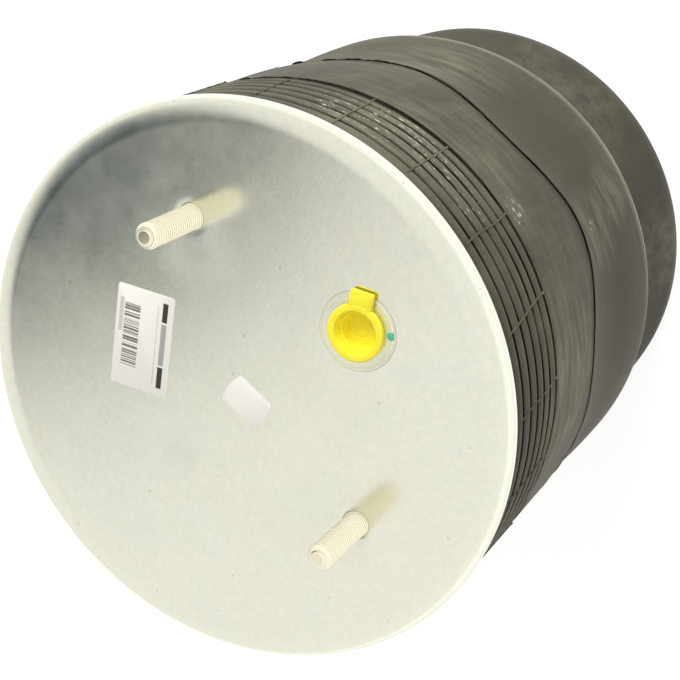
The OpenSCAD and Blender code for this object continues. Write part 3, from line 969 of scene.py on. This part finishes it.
def torn_share(turned):
    """How far the flash is torn up in a direction: only on one side of the sleeve."""
    return max(0.0, math.cos(turned - chosen().sleeve.torn_turn)) ** 4


# Height and spread of the bulges below the band, and how far the parting line's waves and wobble reach
BULGE_Z, BULGE_SPREAD = 0.196, 0.022
WAVE_REACH, WOBBLE_REACH = 0.021, 0.004


def slack(place):
    """Moves a point of the sleeve's wall as the empty, moulded sleeve wanders."""
    sizes = chosen().sleeve
    x, y, z = place
    wave = math.cos(sizes.waves * (math.atan2(y, x) - sizes.wave_turn))
    end = groove_z(sizes.ribs)
    free = hold((end + 4 * MM - z) / (22 * MM)) * hold((z - 78 * MM) / (20 * MM))
    band = hold((z - end - MM) / (8 * MM)) * hold((CURL_Z - z) / (10 * MM))
    push = 0.45 * MM * wave * hill(z, BULGE_Z, BULGE_SPREAD)
    push += free * 0.5 * MM * ripple((x, y, z * 0.7), 17.0, 3.0)
    lift = sizes.parting_wave * wave * hill(z, sizes.parting_z, WAVE_REACH)
    lift += band * 0.55 * MM * ripple((x, y, z * 0.2), 26.0, 8.0)
    lift += hill(z, sizes.parting_z, WOBBLE_REACH) * 0.5 * MM * ripple((x, y, 0), 90.0, 2.0)
    grown = 1 + push / math.hypot(x, y)
    return Vector((x * grown, y * grown, z + lift))


def note_place(piece):
    """Notes each vertex's place at rest, so that the finish stays on the rubber as it bends."""
    mesh = piece.data
    places = [0.0] * (3 * len(mesh.vertices))
    mesh.vertices.foreach_get("co", places)
    mesh.attributes.new("rest_place", "FLOAT_VECTOR", "POINT").data.foreach_set("vector", places)


def bend_wall(piece):
    """Notes the outer wall's place at rest, then bakes its transform into the mesh."""
    note_place(piece)
    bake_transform(piece)


def bend_roll(piece):
    """Notes the rolled side's place at rest, then bakes its transform into the mesh."""
    note_place(piece)
    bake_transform(piece)


def note_painted_shade(bm):
    """Notes on each vertex its painted shade: in the grooves, in dark lines at the band's end and the
    parting line, and on the band's shaded side.
    """
    sizes = chosen().sleeve
    layer = bm.verts.layers.float.new("painted_shade")
    end = groove_z(sizes.ribs)
    # Painted shade lines: height, half width, softness, least darkness, and how much wider the line is
    # where it is torn
    lines = [(groove_z(i), 1.5 * MM, 0.5 * MM, 0.35, 0.0) for i in range(sizes.ribs)]
    lines.append((end - 1.1 * MM, 2.5 * MM, MM, 0.8, 0.6))
    lines.append((sizes.parting_z - 0.4 * MM, 1.7 * MM, 0.6 * MM, 0.8, 0.6))
    for vert in bm.verts:
        x, y, z = vert.co
        turned = math.atan2(y, x)
        # The grooves' painted shade is faintest towards the light, with random change
        faint = 0.68 - 0.34 * math.cos(turned - sizes.faint_shade_turn)
        faint += 0.4 * ripple((x, y, z), 40.0, 6.0)
        # Painted shade on the band, darkest on its shaded side
        if end < z < CURL_Z:
            vert[layer] = DARKEST_BAND_SHADE * max(0.0, math.cos(turned - sizes.band_shade_turn))
        torn = torn_share(turned)
        for centre, half, soft, least, wider in lines:
            share = (half * (1 + wider * torn) - abs(z - centre)) / soft
            if share > 0:
                vert[layer] = min(share, 1.0) * min(max(faint, least), 1.0)


def hollow(bm, wire):
    """Leaves the room of a bead wire's node inside a layer."""
    low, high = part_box(wire)
    radius = (high.z - low.z) / 2
    old = set(bm.faces)
    spin_profile(bm, arc((high.x - radius, low.z + radius), radius + 0.01 * MM, 0, 345, 23), closed=True)
    fresh = [f for f in bm.faces if f not in old]
    bmesh.ops.recalc_face_normals(bm, faces=fresh)
    bmesh.ops.reverse_faces(bm, faces=fresh)


def make_layer(name, node, outside, inside, material, bend, wire=None):
    """One closed ring of the sleeve between two profiles, with its place at rest noted."""
    bm = bmesh.new()
    spin_profile(bm, outside + inside[::-1], closed=True)
    tidy(bm)
    if wire:
        hollow(bm, wire)
    if bend is bend_wall:
        note_painted_shade(bm)
        for vert in bm.verts:
            vert.co = slack(vert.co)
    piece = make_piece(name, bm, material, sharp=50.0)
    bend(piece)
    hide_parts(node)


class AIRSPRING_OT_stage(Operator):
    """Sets up the floor, the soft light, the background and the camera"""

    bl_idname = "airspring.stage"
    bl_label = "Stage"

    def execute(self, context):
        scene = context.scene
        settings = chosen().stage
        camera_data = bpy.data.cameras.new("camera")
        camera_data.lens = settings.lens
        camera_data.sensor_width = 36.0
        camera_data.clip_start = 0.01
        camera = bpy.data.objects.new("camera", camera_data)
        camera.location = settings.place
        camera.rotation_euler = settings.turned
        scene.collection.objects.link(camera)
        scene.camera = camera
        scene.view_settings.view_transform = "Standard"
        self.lay_floor(scene)
        self.light_room(scene)
        self.hang_lamps(scene)
        return {"FINISHED"}

    def seen_rays(self, tree):
        """One on rays that show a background: to the camera, in gloss and through glass."""
        path = tree.nodes.new("ShaderNodeLightPath").outputs
        seen = maths(tree, "MAXIMUM", path["Is Camera Ray"], path["Is Glossy Ray"])
        return maths(tree, "MAXIMUM", seen, path["Is Transmission Ray"])

    def lay_floor(self, scene):
        """A wide plain floor, white to the camera and pale to the lamps, which keeps the shadow."""
        bm = bmesh.new()
        bmesh.ops.create_grid(bm, x_segments=1, y_segments=1, size=4.0)
        mesh = bpy.data.meshes.new("floor")
        bm.to_mesh(mesh)
        bm.free()
        floor = bpy.data.objects.new("floor", mesh)
        scene.collection.objects.link(floor)
        material, tree, shader = new_material("floor_white")[:3]
        glow = put(tree, "ShaderNodeEmission", {"Color": (1, 1, 1, 1), "Strength": 0.80}).outputs[0]
        white = put(tree, "ShaderNodeBsdfDiffuse", {"Color": (0.42, 0.42, 0.42, 1)}).outputs[0]
        shown = put(tree, "ShaderNodeAddShader", {0: glow, 1: white}).outputs[0]
        pale = put(tree, "ShaderNodeBsdfDiffuse", {"Color": (0.86, 0.86, 0.84, 1)}).outputs[0]
        both = put(tree, "ShaderNodeMixShader", {0: self.seen_rays(tree), 1: pale, 2: shown}).outputs[0]
        tree.links.new(both, tree.nodes["Material Output"].inputs["Surface"])
        tree.nodes.remove(shader)
        mesh.materials.append(material)

    def light_room(self, scene):
        """An even pale room, white to the camera, with one dark side for the metal to mirror."""
        settings = chosen().stage
        world = bpy.data.worlds.new("room")
        world.use_nodes = True
        tree = world.node_tree
        way = tree.nodes.new("ShaderNodeTexCoord").outputs["Generated"]
        dark_side = tuple(Vector(settings.dark_side).normalized())
        facing = put(tree, "ShaderNodeVectorMath", {0: way, 1: dark_side}, operation="DOT_PRODUCT")
        facing = facing.outputs["Value"]
        dark_edge, pale_edge = (0.9615, 0.988), (0.80, 0.35)
        dim = remap(tree, facing, *dark_edge, kind="SMOOTHSTEP")
        aside = remap(tree, facing, *pale_edge, kind="SMOOTHSTEP")
        backdrop = blend_colour(tree, aside, (1.0, 0.99, 0.93), (1.22, 1.21, 1.15))
        backdrop = blend_colour(tree, dim, backdrop, (0.016, 0.042, 0.060))
        even = tuple(settings.dome * c for c in (1.0, 0.985, 0.95))
        shown = blend_colour(tree, self.seen_rays(tree), even, backdrop)
        set_inputs(tree, tree.nodes["Background"], {"Color": shown, "Strength": 1.0})
        scene.world = world

    def hang_lamps(self, scene):
        """Two soft round lamps that aim at the middle of the spring."""
        settings = chosen().stage
        for name, way, distance, size, power in (
            ("key", (0.86, -0.42, 0.62), 2.4, 1.6, settings.key),
            ("fill", (-0.35, -0.60, 0.75), 1.5, 1.2, settings.fill),
        ):
            light = bpy.data.lights.new(name, "AREA")
            light.shape = "DISK"
            light.size = size
            light.energy = power
            lamp = bpy.data.objects.new(name, light)
            lamp.visible_glossy = False
            away = Vector(way).normalized()
            lamp.location = Vector((0, 0, FACE_Z / 2)) + away * distance
            lamp.rotation_euler = away.to_track_quat("Z", "Y").to_euler()
            scene.collection.objects.link(lamp)


class AIRSPRING_OT_bead_plate(Operator):
    """Makes the crimped steel plate, with its port hole and the swells at its studs"""

    bl_idname = "airspring.bead_plate"
    bl_label = "Bead Plate"

    def execute(self, context):
        sizes, port = chosen().plate, chosen().port
        bm = bmesh.new()
        spin_profile(bm, self.rim_path())
        self.raise_swells(bm)
        centre = centre_of("port_boss")
        hole = [
            (port.face + 0.8 * MM, FACE_Z), (port.face + 0.15 * MM, FACE_Z),
            (port.face + 0.02 * MM, FACE_Z - 0.13 * MM),
        ]
        spin_profile(bm, hole, centre=(centre.x, centre.y), steps=SMALL_STEPS * 2)
        bmesh.ops.remove_doubles(bm, verts=bm.verts, dist=1e-7)
        open_edges = [e for e in bm.edges if e.is_boundary]
        level = [e for e in open_edges if all(abs(v.co.z - FACE_Z) < 1e-7 for v in e.verts)]
        bmesh.ops.triangle_fill(bm, use_beauty=True, use_dissolve=False, edges=level, normal=(0, 0, 1))
        bmesh.ops.recalc_face_normals(bm, faces=bm.faces)
        if max(bm.faces, key=lambda f: f.calc_area()).normal.z < 0:
            bmesh.ops.reverse_faces(bm, faces=bm.faces)
        finish = chosen().finish
        satin = zinc("zinc_plate", finish.zinc, finish.zinc_warm)
        piece = make_piece("crimped_plate", bm, satin, sharp=40.0)
        sheet = piece.modifiers.new("Sheet", "SOLIDIFY")
        sheet.thickness = sizes.sheet
        sheet.offset = -1.0
        sheet.use_even_offset = True
        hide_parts("bead_plate")
        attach(piece, PLATE_BODY)
        return {"FINISHED"}

    def rim_path(self):
        """The plate's edge: a soft slope, the turned corner and the curl under the sleeve."""
        sizes = chosen().plate
        drop = sizes.crown * math.tan(sizes.crown_lean) / 1.5
        corner = (sizes.corner - drop) / math.cos(sizes.crown_lean)
        centre_r = sizes.radius - corner
        start = centre_r + corner * math.sin(sizes.crown_lean) - sizes.crown
        slope = [(start - 0.8 * MM, FACE_Z)]
        slope += [(start + sizes.crown * t / 6, FACE_Z - drop * (t / 6) ** 1.5) for t in range(6)]
        turned = arc((centre_r, FACE_Z - sizes.corner), corner, 90 - math.degrees(sizes.crown_lean), 0, 14)
        curl = FACE_Z - CURL_Z - sizes.corner
        curled = arc((sizes.radius - curl, CURL_Z + curl), curl, 0, -90, 10)[1:]
        return slope + turned + curled + [(sizes.neck, CURL_Z)]

    def raise_swells(self, bm):
        """A faint swell round each stud, down to its knurled neck."""
        sizes, stud = chosen().plate, chosen().stud
        ring = [
            (sizes.swell + 0.8 * MM, 0.0), (sizes.swell, 0.0), (sizes.swell - 2 * MM, 0.35),
            (sizes.swell - 5 * MM, 0.9), (stud.neck + 0.9 * MM, 1.0), (stud.neck + 0.03 * MM, -2.0),
        ]
        profile = [(r, FACE_Z + share * sizes.swell_height) for r, share in ring]
        for node in ("stud_left", "stud_right"):
            centre = centre_of(node)
            spin_profile(bm, profile, centre=(centre.x, centre.y), steps=SMALL_STEPS)


class AIRSPRING_OT_studs(Operator):
    """Makes the two press-in studs, with their threads, chamfers and raised tips"""

    bl_idname = "airspring.studs"
    bl_label = "Studs"

    def execute(self, context):
        shade = chosen().finish.stud
        finish = zinc("zinc_stud", shade, shaded(shade, 1.08), roughness=0.235, scuffs=False)
        for node in ("stud_left", "stud_right"):
            centre = centre_of(node)
            bm = bmesh.new()
            self.cut_thread(bm, (centre.x, centre.y))
            self.add_ends(bm, (centre.x, centre.y))
            tidy(bm, 1e-6)
            piece = make_piece("threaded_" + node, bm, finish, sharp=32.0)
            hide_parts(node)
            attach(piece, PLATE_BODY)
        return {"FINISHED"}

    def cut_thread(self, bm, centre):
        """Winds one pitch of the thread's profile up the shank and trims it to a chamfered end."""
        sizes = chosen().stud
        root, crest, steps = sizes.radius - sizes.depth, sizes.radius, 48
        one_pitch = [(root, 0.0), (root, 0.10), (crest, 0.34), (crest, 0.74), (root, 0.98), (root, 1.0)]
        doublings = math.ceil(math.log2((TIP_Z - FACE_Z) / sizes.pitch + 2))
        profile = [(r, FACE_Z + (share - 1) * sizes.pitch) for r, share in one_pitch]
        part = spin_part(bm, profile, False, centre, steps, math.tau, sizes.pitch)
        for i in range(doublings):
            part = repeat(bm, part, Matrix.Translation((0, 0, sizes.pitch * 2 ** i)))
        bmesh.ops.remove_doubles(bm, verts=bm.verts, dist=2e-6)
        end = TIP_Z - sizes.tip
        for z, above in ((FACE_Z + 0.25 * MM, False), (end, True)):
            bmesh.ops.bisect_plane(
                bm, geom=bm.verts[:] + bm.edges[:] + bm.faces[:], plane_co=(0, 0, z), plane_no=(0, 0, 1),
                clear_outer=above, clear_inner=not above,
            )
        axis = Vector((*centre, 0))
        chamfer, slope = 1.45 * MM, 0.85
        for vert in bm.verts:
            out = Vector((vert.co.x, vert.co.y, 0)) - axis
            most = sizes.radius - chamfer + (end - vert.co.z) * slope
            if out.length > most:
                vert.co = axis + out * (most / out.length) + Vector((0, 0, vert.co.z))
        bmesh.ops.holes_fill(bm, edges=[e for e in bm.edges if e.is_boundary])

    def add_ends(self, bm, centre):
        """The raised tip, and the knurled neck and head that hold the stud in the plate."""
        sizes, plate = chosen().stud, chosen().plate
        end = TIP_Z - sizes.tip
        reach = sizes.radius - 1.75 * MM
        tip = [
            (0, end - 0.3 * MM), (reach, end - 0.3 * MM), (reach, end + 0.05 * MM),
            (reach - 0.35 * MM, end + 0.3 * MM), (reach - 0.9 * MM, end + 0.36 * MM),
            (reach - 1.1 * MM, end + 0.62 * MM), (reach - 1.4 * MM, TIP_Z - 0.06 * MM), (0, TIP_Z),
        ]
        spin_profile(bm, tip, centre=centre, steps=SMALL_STEPS)
        under = FACE_Z - plate.sheet - 0.02 * MM
        foot = [
            (0, STUD_LOW.z), (sizes.head - 0.5 * MM, STUD_LOW.z), (sizes.head, STUD_LOW.z + 0.5 * MM),
            (sizes.head, under), (sizes.neck, under), (sizes.neck, FACE_Z - 0.1 * MM),
            (sizes.radius - 0.2 * MM, FACE_Z + 0.5 * MM), (0, FACE_Z + 0.5 * MM),
        ]
        spin_profile(bm, foot, centre=centre, steps=SMALL_STEPS)


class AIRSPRING_OT_port(Operator):
    """Makes the yellow transit plug and the paint mark, and finishes the air port's boss"""

    bl_idname = "airspring.port"
    bl_label = "Air Port"

    def execute(self, context):
        centre = centre_of("port_boss")
        dress("port_boss", turned_zinc("zinc_turned", centre))
        self.make_plug(centre)
        self.make_mark()
        return {"FINISHED"}

    def make_plug(self, centre):
        """The stepped stem, the round flange and the cup of the plug, with its tab."""
        sizes = chosen().port
        stem, mouth = sizes.bore - 0.1 * MM, sizes.mouth
        top, cup = sizes.flange_top, sizes.cup
        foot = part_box("port_plug")[0].z - FACE_Z
        profile = [
            (0, foot), (stem - 1.6 * MM, foot), (stem, foot + 1.8 * MM), (stem, -0.2 * MM),
            (sizes.flange - 1.3 * MM, 0.02 * MM), (sizes.flange - 0.1 * MM, 1.2 * MM),
            (sizes.flange, 1.6 * MM),
        ]
        profile += arc((sizes.flange - 0.9 * MM, top - 0.9 * MM), 0.9 * MM, 0, 90, 5)
        profile += arc((mouth + 0.9 * MM, top - 0.7 * MM), 0.7 * MM, 90, 170, 5)
        profile += [
            (mouth - 0.7 * MM, 1.2 * MM), (mouth - 1.0 * MM, -0.8 * MM), (mouth - 1.6 * MM, -1.2 * MM),
            (mouth - 1.8 * MM, -cup + 0.5 * MM), (mouth - 2.2 * MM, -cup), (sizes.pocket, -cup),
            (sizes.pocket - 0.3 * MM, -cup - 0.7 * MM), (0, -cup - 0.9 * MM),
        ]
        profile = [(r, FACE_Z + z) for r, z in profile]
        bm = bmesh.new()
        spin_profile(bm, profile, centre=(centre.x, centre.y), steps=SMALL_STEPS * 2)
        tidy(bm)
        for vert in bm.verts:
            out = math.hypot(vert.co.x - centre.x, vert.co.y - centre.y)
            if out < sizes.pocket + 0.01 * MM and vert.co.z > FACE_Z + foot + MM:
                vert.co += Vector((1.6, 1.2, 0)) * MM
        self.add_tab(bm, centre)
        piece = make_piece("cup_plug", bm, yellow_plastic("yellow_plastic"), sharp=42.0)
        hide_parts("port_plug")
        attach(piece, PLUG_BODY)

    def add_tab(self, bm, centre):
        """A flat pull tab with rounded corners that leaves the flange."""
        sizes = chosen().port
        old = set(bm.verts)
        start, end, half = sizes.mouth + MM, sizes.tab_reach, sizes.tab_width / 2
        corner = 1.1 * MM
        outline = [(start, -half)]
        outline += arc((end - corner, corner - half), corner, -90, 0, 3)
        outline += arc((end - corner, half - corner), corner, 0, 90, 3)
        outline.append((start, half))
        top = FACE_Z + sizes.flange_top
        extrude_outline(bm, outline, top - 2.0 * MM, top - 0.12 * MM, edge=0.35 * MM)
        new = [v for v in bm.verts if v not in old]
        turned = Matrix.Translation((centre.x, centre.y, 0)) @ Matrix.Rotation(sizes.tab_turn, 4, "Z")
        bmesh.ops.transform(bm, matrix=turned, verts=new)
        bmesh.ops.recalc_face_normals(bm, faces=bm.faces)

    def make_mark(self):
        """A dab of paint with a ragged edge."""
        low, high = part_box("paint_mark")
        spot = centre_of("paint_mark")
        radius, height = (high.x - low.x) / 2, high.z - low.z
        dab = [(1.0, 0.0), (0.9, 0.6), (0.5, 1.0), (0.0, 1.0)]
        bm = bmesh.new()
        profile = [(0, low.z)] + [(radius * out, low.z + height * up) for out, up in dab]
        spin_profile(bm, profile, centre=(spot.x, spot.y), steps=40)
        tidy(bm)
        for vert in bm.verts:
            away = Vector((vert.co.x - spot.x, vert.co.y - spot.y, 0))
            ragged = 0.85 + 0.14 * ripple(away.normalized(), 1.6, 5.0)
            vert.co.x = spot.x + away.x * ragged
            vert.co.y = spot.y + away.y * ragged * 0.9
        piece = make_piece("paint_dab", bm, paint("green_paint"), sharp=60.0)
        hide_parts("paint_mark")
        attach(piece, PLATE_BODY)


class AIRSPRING_OT_sleeve(Operator):
    """Makes the rubber sleeve's cover, its two cord plies and its liner"""

    bl_idname = "airspring.sleeve"
    bl_label = "Rubber Sleeve"

    def execute(self, context):
        sizes, piston = chosen().sleeve, chosen().piston
        wall, roll = smooth_wall(), smooth_roll()
        deck, top = piston.deck_z + sizes.gap, piston.deck_z + sizes.bead_height
        bead = [(sizes.bead_in, deck), (sizes.bead_in, top), (sizes.bead_out, top)]
        depth = sizes.cover
        black, slot = rubber("black_rubber"), "black_rubber"
        for name, outside, inside, bend, wire in (
            ("cover_wall", cover_wall(), side_step(wall, depth), bend_wall, "upper_bead_wire"),
            ("cover_roll", roll + bead, side_step(roll, depth), bend_roll, "lower_bead_wire"),
        ):
            make_layer(name, "bellows_cover", outside, inside, black, bend, wire)
        slant = math.radians(48)
        one_way, other_way = cord_fabric("cord_outer", slant), cord_fabric("cord_inner", -slant)
        plain = rubber("liner_rubber", dust=0.4, marks=False)
        for name, node, thick, finish, slot in (
            ("outer_ply", "outer_cord_ply", sizes.ply, one_way, "cord_fabric"),
            ("inner_ply", "inner_cord_ply", sizes.ply, other_way, "cord_fabric"),
            ("liner", "inner_liner", sizes.liner, plain, "black_rubber"),
        ):
            for side, path, bend in (("_wall", wall, bend_wall), ("_roll", roll, bend_roll)):
                outside, inside = side_step(path, depth), side_step(path, depth + thick)
                make_layer(name + side, node, outside, inside, finish, bend)
            depth += thick
        return {"FINISHED"}


class AIRSPRING_OT_flash(Operator):
    """Makes the thin lines of flash that the mould left on the sleeve"""

    bl_idname = "airspring.flash"
    bl_label = "Mould Flash"

    def execute(self, context):
        finish = rubber("flash_rubber", dust=0.62)
        bend_wall(make_lines("vent_flash", self.vent_lines(), 0.42 * MM, finish, nub=2.0))
        dark = rubber("seam_rubber", dust=0.1, marks=False)
        sizes = chosen().sleeve
        seam, end = sizes.parting_z, groove_z(sizes.ribs)
        for name, z, radius in (
            ("parting_flash", seam + 0.9 * MM, wall_radius(seam) + 0.1 * MM),
            ("band_flash", end + 0.2 * MM, sizes.band - 0.2 * MM),
        ):
            torn = make_lines(name, self.torn_lines(z, radius), 0.45 * MM, dark)
            # The torn flash is darkened with painted shade
            painted_shade = torn.data.attributes.new("painted_shade", "FLOAT", "POINT")
            painted_shade.data.foreach_set("value", [FLASH_SHADE] * len(painted_shade.data))
            bend_wall(torn)
        return {"FINISHED"}

    def vent_lines(self):
        """Lines across the ribbed band, each a little slanted and bent."""
        sizes = chosen().sleeve
        draw = random.Random(11)
        end = groove_z(sizes.ribs)
        lines = []
        for i in range(sizes.vents):
            angle = sizes.vent_turn + math.tau * i / sizes.vents + math.radians(draw.uniform(-0.5, 0.5))
            slant, bow = draw.uniform(-0.9, 2.6), draw.uniform(-0.3, 0.3)
            high = CURL_Z - draw.uniform(0.8, 3.5) * MM
            low = end - draw.uniform(1.2, 2.8) * MM
            points = []
            for z in steps_down(high, low, 1.6 * MM):
                share = (high - z) / (high - low)
                turned = angle + math.radians(slant * (share - 0.5) + bow * math.sin(math.tau * share))
                off = wall_radius(z) - 0.1 * MM if z < end - 0.4 * MM else sizes.band + 0.02 * MM
                off -= 0.4 * MM * max(0.0, 1 - (CURL_Z - z) / (2.5 * MM))
                points.append(slack((off * math.cos(turned), off * math.sin(turned), z)))
            lines.append((points, draw.uniform(0.8, 1.15)))
        return lines

    def torn_lines(self, z, radius):
        """Torn ridges of flash round the sleeve at a height, higher on one side."""
        draw = random.Random(round(z * 1e5))
        lines = []
        angle = 0.0
        while angle < 360.0:
            span = draw.uniform(1.0, 15.0 - 9.0 * torn_share(math.radians(angle)))
            count = max(2, round(span / 0.9))
            points = []
            for i in range(count + 1):
                turned = math.radians(angle + span * i / count)
                torn = torn_share(turned)
                off = radius + (draw.uniform(-0.10, 0.16) + 0.55 * torn * draw.random()) * MM
                place = (off * math.cos(turned), off * math.sin(turned), z + draw.uniform(-0.18, 0.18) * MM)
                points.append(slack(place))
            lines.append((points, draw.uniform(0.65, 1.0 + 0.9 * torn)))
            angle += span + draw.choice((0.2, 0.5, 1.5, 4.0))
        return lines


class AIRSPRING_OT_piston(Operator):
    """Makes the piston's flared outer moulding and finishes what is under its deck"""

    bl_idname = "airspring.piston"
    bl_label = "Piston"

    def execute(self, context):
        sizes = chosen().piston
        seat_top = PISTON_HIGH.z
        under = sizes.deck_z - sizes.deck
        shoulder_z = sizes.deck_z - sizes.shoulder_round
        heights = steps_down(shoulder_z, sizes.foot, 4 * MM)
        profile = [
            (sizes.bolt_hole, seat_top - sizes.ring_depth), (sizes.ring_seat, seat_top - sizes.ring_depth),
            (sizes.ring_seat, seat_top),
        ]
        edge, foot_edge = 1.5 * MM, 1.6 * MM
        profile += arc((sizes.seat - edge, seat_top - edge), edge, 90, 0, 4)
        profile += arc((sizes.seat + MM, sizes.deck_z + MM), MM, 180, 270, 4)
        profile += arc((sizes.shoulder - sizes.shoulder_round, shoulder_z), sizes.shoulder_round, 90, 0, 10)
        profile += [(piston_radius(z), z) for z in heights[1:]]
        profile += arc((sizes.base - foot_edge, foot_edge), foot_edge, 0, -90, 6)
        profile += [(sizes.base - sizes.skin, 0.0), (sizes.base - sizes.skin, sizes.foot)]
        profile += [(piston_radius(z) - sizes.skin, z) for z in reversed(heights[:-1])]
        profile += [(sizes.shoulder - sizes.shoulder_round, under), (sizes.bolt_hole, under)]
        bm = bmesh.new()
        spin_profile(bm, profile, closed=True)
        tidy(bm)
        piece = make_piece("piston_shell", bm, moulding("piston_black"), sharp=40.0)
        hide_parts("piston")
        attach(piece, PISTON_BODY)
        inside = moulding("piston_black_inside", marks=False)
        for node in ("piston_hub", "piston_ribs"):
            dress(node, inside)
        return {"FINISHED"}


class AIRSPRING_OT_papers(Operator):
    """Makes the label with its plain bars and the small blank sticker"""

    bl_idname = "airspring.papers"
    bl_label = "Label and Sticker"

    def execute(self, context):
        sizes = chosen().paper
        half_l, half_w = sizes.label_length / 2 - sizes.corner, sizes.label_width / 2 - sizes.corner
        square = []
        for x, y, first in (
            (half_l, -half_w, -90), (half_l, half_w, 0), (-half_l, half_w, 90), (-half_l, -half_w, 180)
        ):
            square += arc((x, y), sizes.corner, first, first + 90, 6)
        label = paper("label_print", centre_of("parts_label"))
        self.lay("plain_label", "parts_label", square, sizes.label_turn, label, "label_paper")
        half_l, half_w = sizes.sticker_length / 2, sizes.sticker_width / 2
        bow = 20 * MM
        reach = math.degrees(math.asin(half_w / bow))
        right = arc((half_l - bow, 0), bow, -reach, reach, 12)
        left = [(-x, -y) for x, y in right]
        blank = paper("sticker_paper")
        self.lay("small_sticker", "blank_sticker", right + left, sizes.sticker_turn, blank, "sticker_paper")
        return {"FINISHED"}

    def lay(self, name, node, outline, turned, material, slot):
        """A thin sheet of an outline, at its node's place."""
        low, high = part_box(node)
        centre = centre_of(node)
        bm = bmesh.new()
        extrude_outline(bm, outline, low.z + 0.005 * MM, high.z, edge=0.03 * MM)
        place = Matrix.Translation((centre.x, centre.y, 0)) @ Matrix.Rotation(turned, 4, "Z")
        bmesh.ops.transform(bm, matrix=place, verts=bm.verts)
        tidy(bm)
        piece = make_piece(name, bm, material, sharp=30.0)
        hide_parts(node)
        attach(piece, PLATE_BODY)


class AIRSPRING_OT_inner_parts(Operator):
    """Finishes the bead wires, the closure parts, the bumper and the base inserts"""

    bl_idname = "airspring.inner_parts"
    bl_label = "Inner Parts"

    def execute(self, context):
        finish = chosen().finish
        steel = metal("bolt_steel", finish.steel, 0.34)
        sheet = zinc("zinc_inner", finish.zinc, finish.zinc_warm, roughness=0.36, scuffs=False)
        wire = bead_wire("bead_wire")
        soft = rubber("bumper_rubber", dust=0.3, marks=False, bends=False)
        brass = metal("insert_brass", finish.brass, 0.32)
        for material, nodes in (
            (sheet, ("closure_plate", "bumper_retainer")),
            (steel, ("closure_nut", "closure_bolt", "bolt_washer")),
            (soft, ("bumper", "bolt_o_ring")),
            (wire, ("upper_bead_wire", "lower_bead_wire")),
            (brass, ("base_inserts",)),
        ):
            for node in nodes:
                dress(node, material)
        return {"FINISHED"}


class AIRSPRING_PT_panel(Panel):
    """Lists the steps that dress the air spring, and the colours of its finishes"""

    bl_idname = "AIRSPRING_PT_panel"
    bl_label = "Air Spring"
    bl_space_type = "VIEW_3D"
    bl_region_type = "UI"
    bl_category = "Air Spring"

    def draw(self, context):
        for step in STEPS:
            self.layout.operator(step.bl_idname)
        finishes = self.layout.box()
        for name in Finishes.__annotations__:
            finishes.prop(chosen().finish, name)


STEPS = (
    AIRSPRING_OT_stage, AIRSPRING_OT_bead_plate, AIRSPRING_OT_studs, AIRSPRING_OT_port, AIRSPRING_OT_sleeve,
    AIRSPRING_OT_flash, AIRSPRING_OT_piston, AIRSPRING_OT_papers, AIRSPRING_OT_inner_parts,
)
CLASSES = (
    PlateSizes, StudSizes, PortSizes, SleeveSizes, PistonSizes, PaperSizes, StageSettings, Finishes,
    AirSpringSettings, *STEPS, AIRSPRING_PT_panel,
)


def register():
    for made in CLASSES:
        bpy.utils.register_class(made)
    bpy.types.Scene.air_spring = PointerProperty(type=AirSpringSettings)


def unregister():
    del bpy.types.Scene.air_spring
    for made in reversed(CLASSES):
        bpy.utils.unregister_class(made)


def main():
    register()
    build_film()
    build_patch()
    build_flecks()
    build_grain()
    for step in STEPS:
        family, call = step.bl_idname.split(".")
        getattr(getattr(bpy.ops, family), call)()


if __name__ == "__main__":
    main()
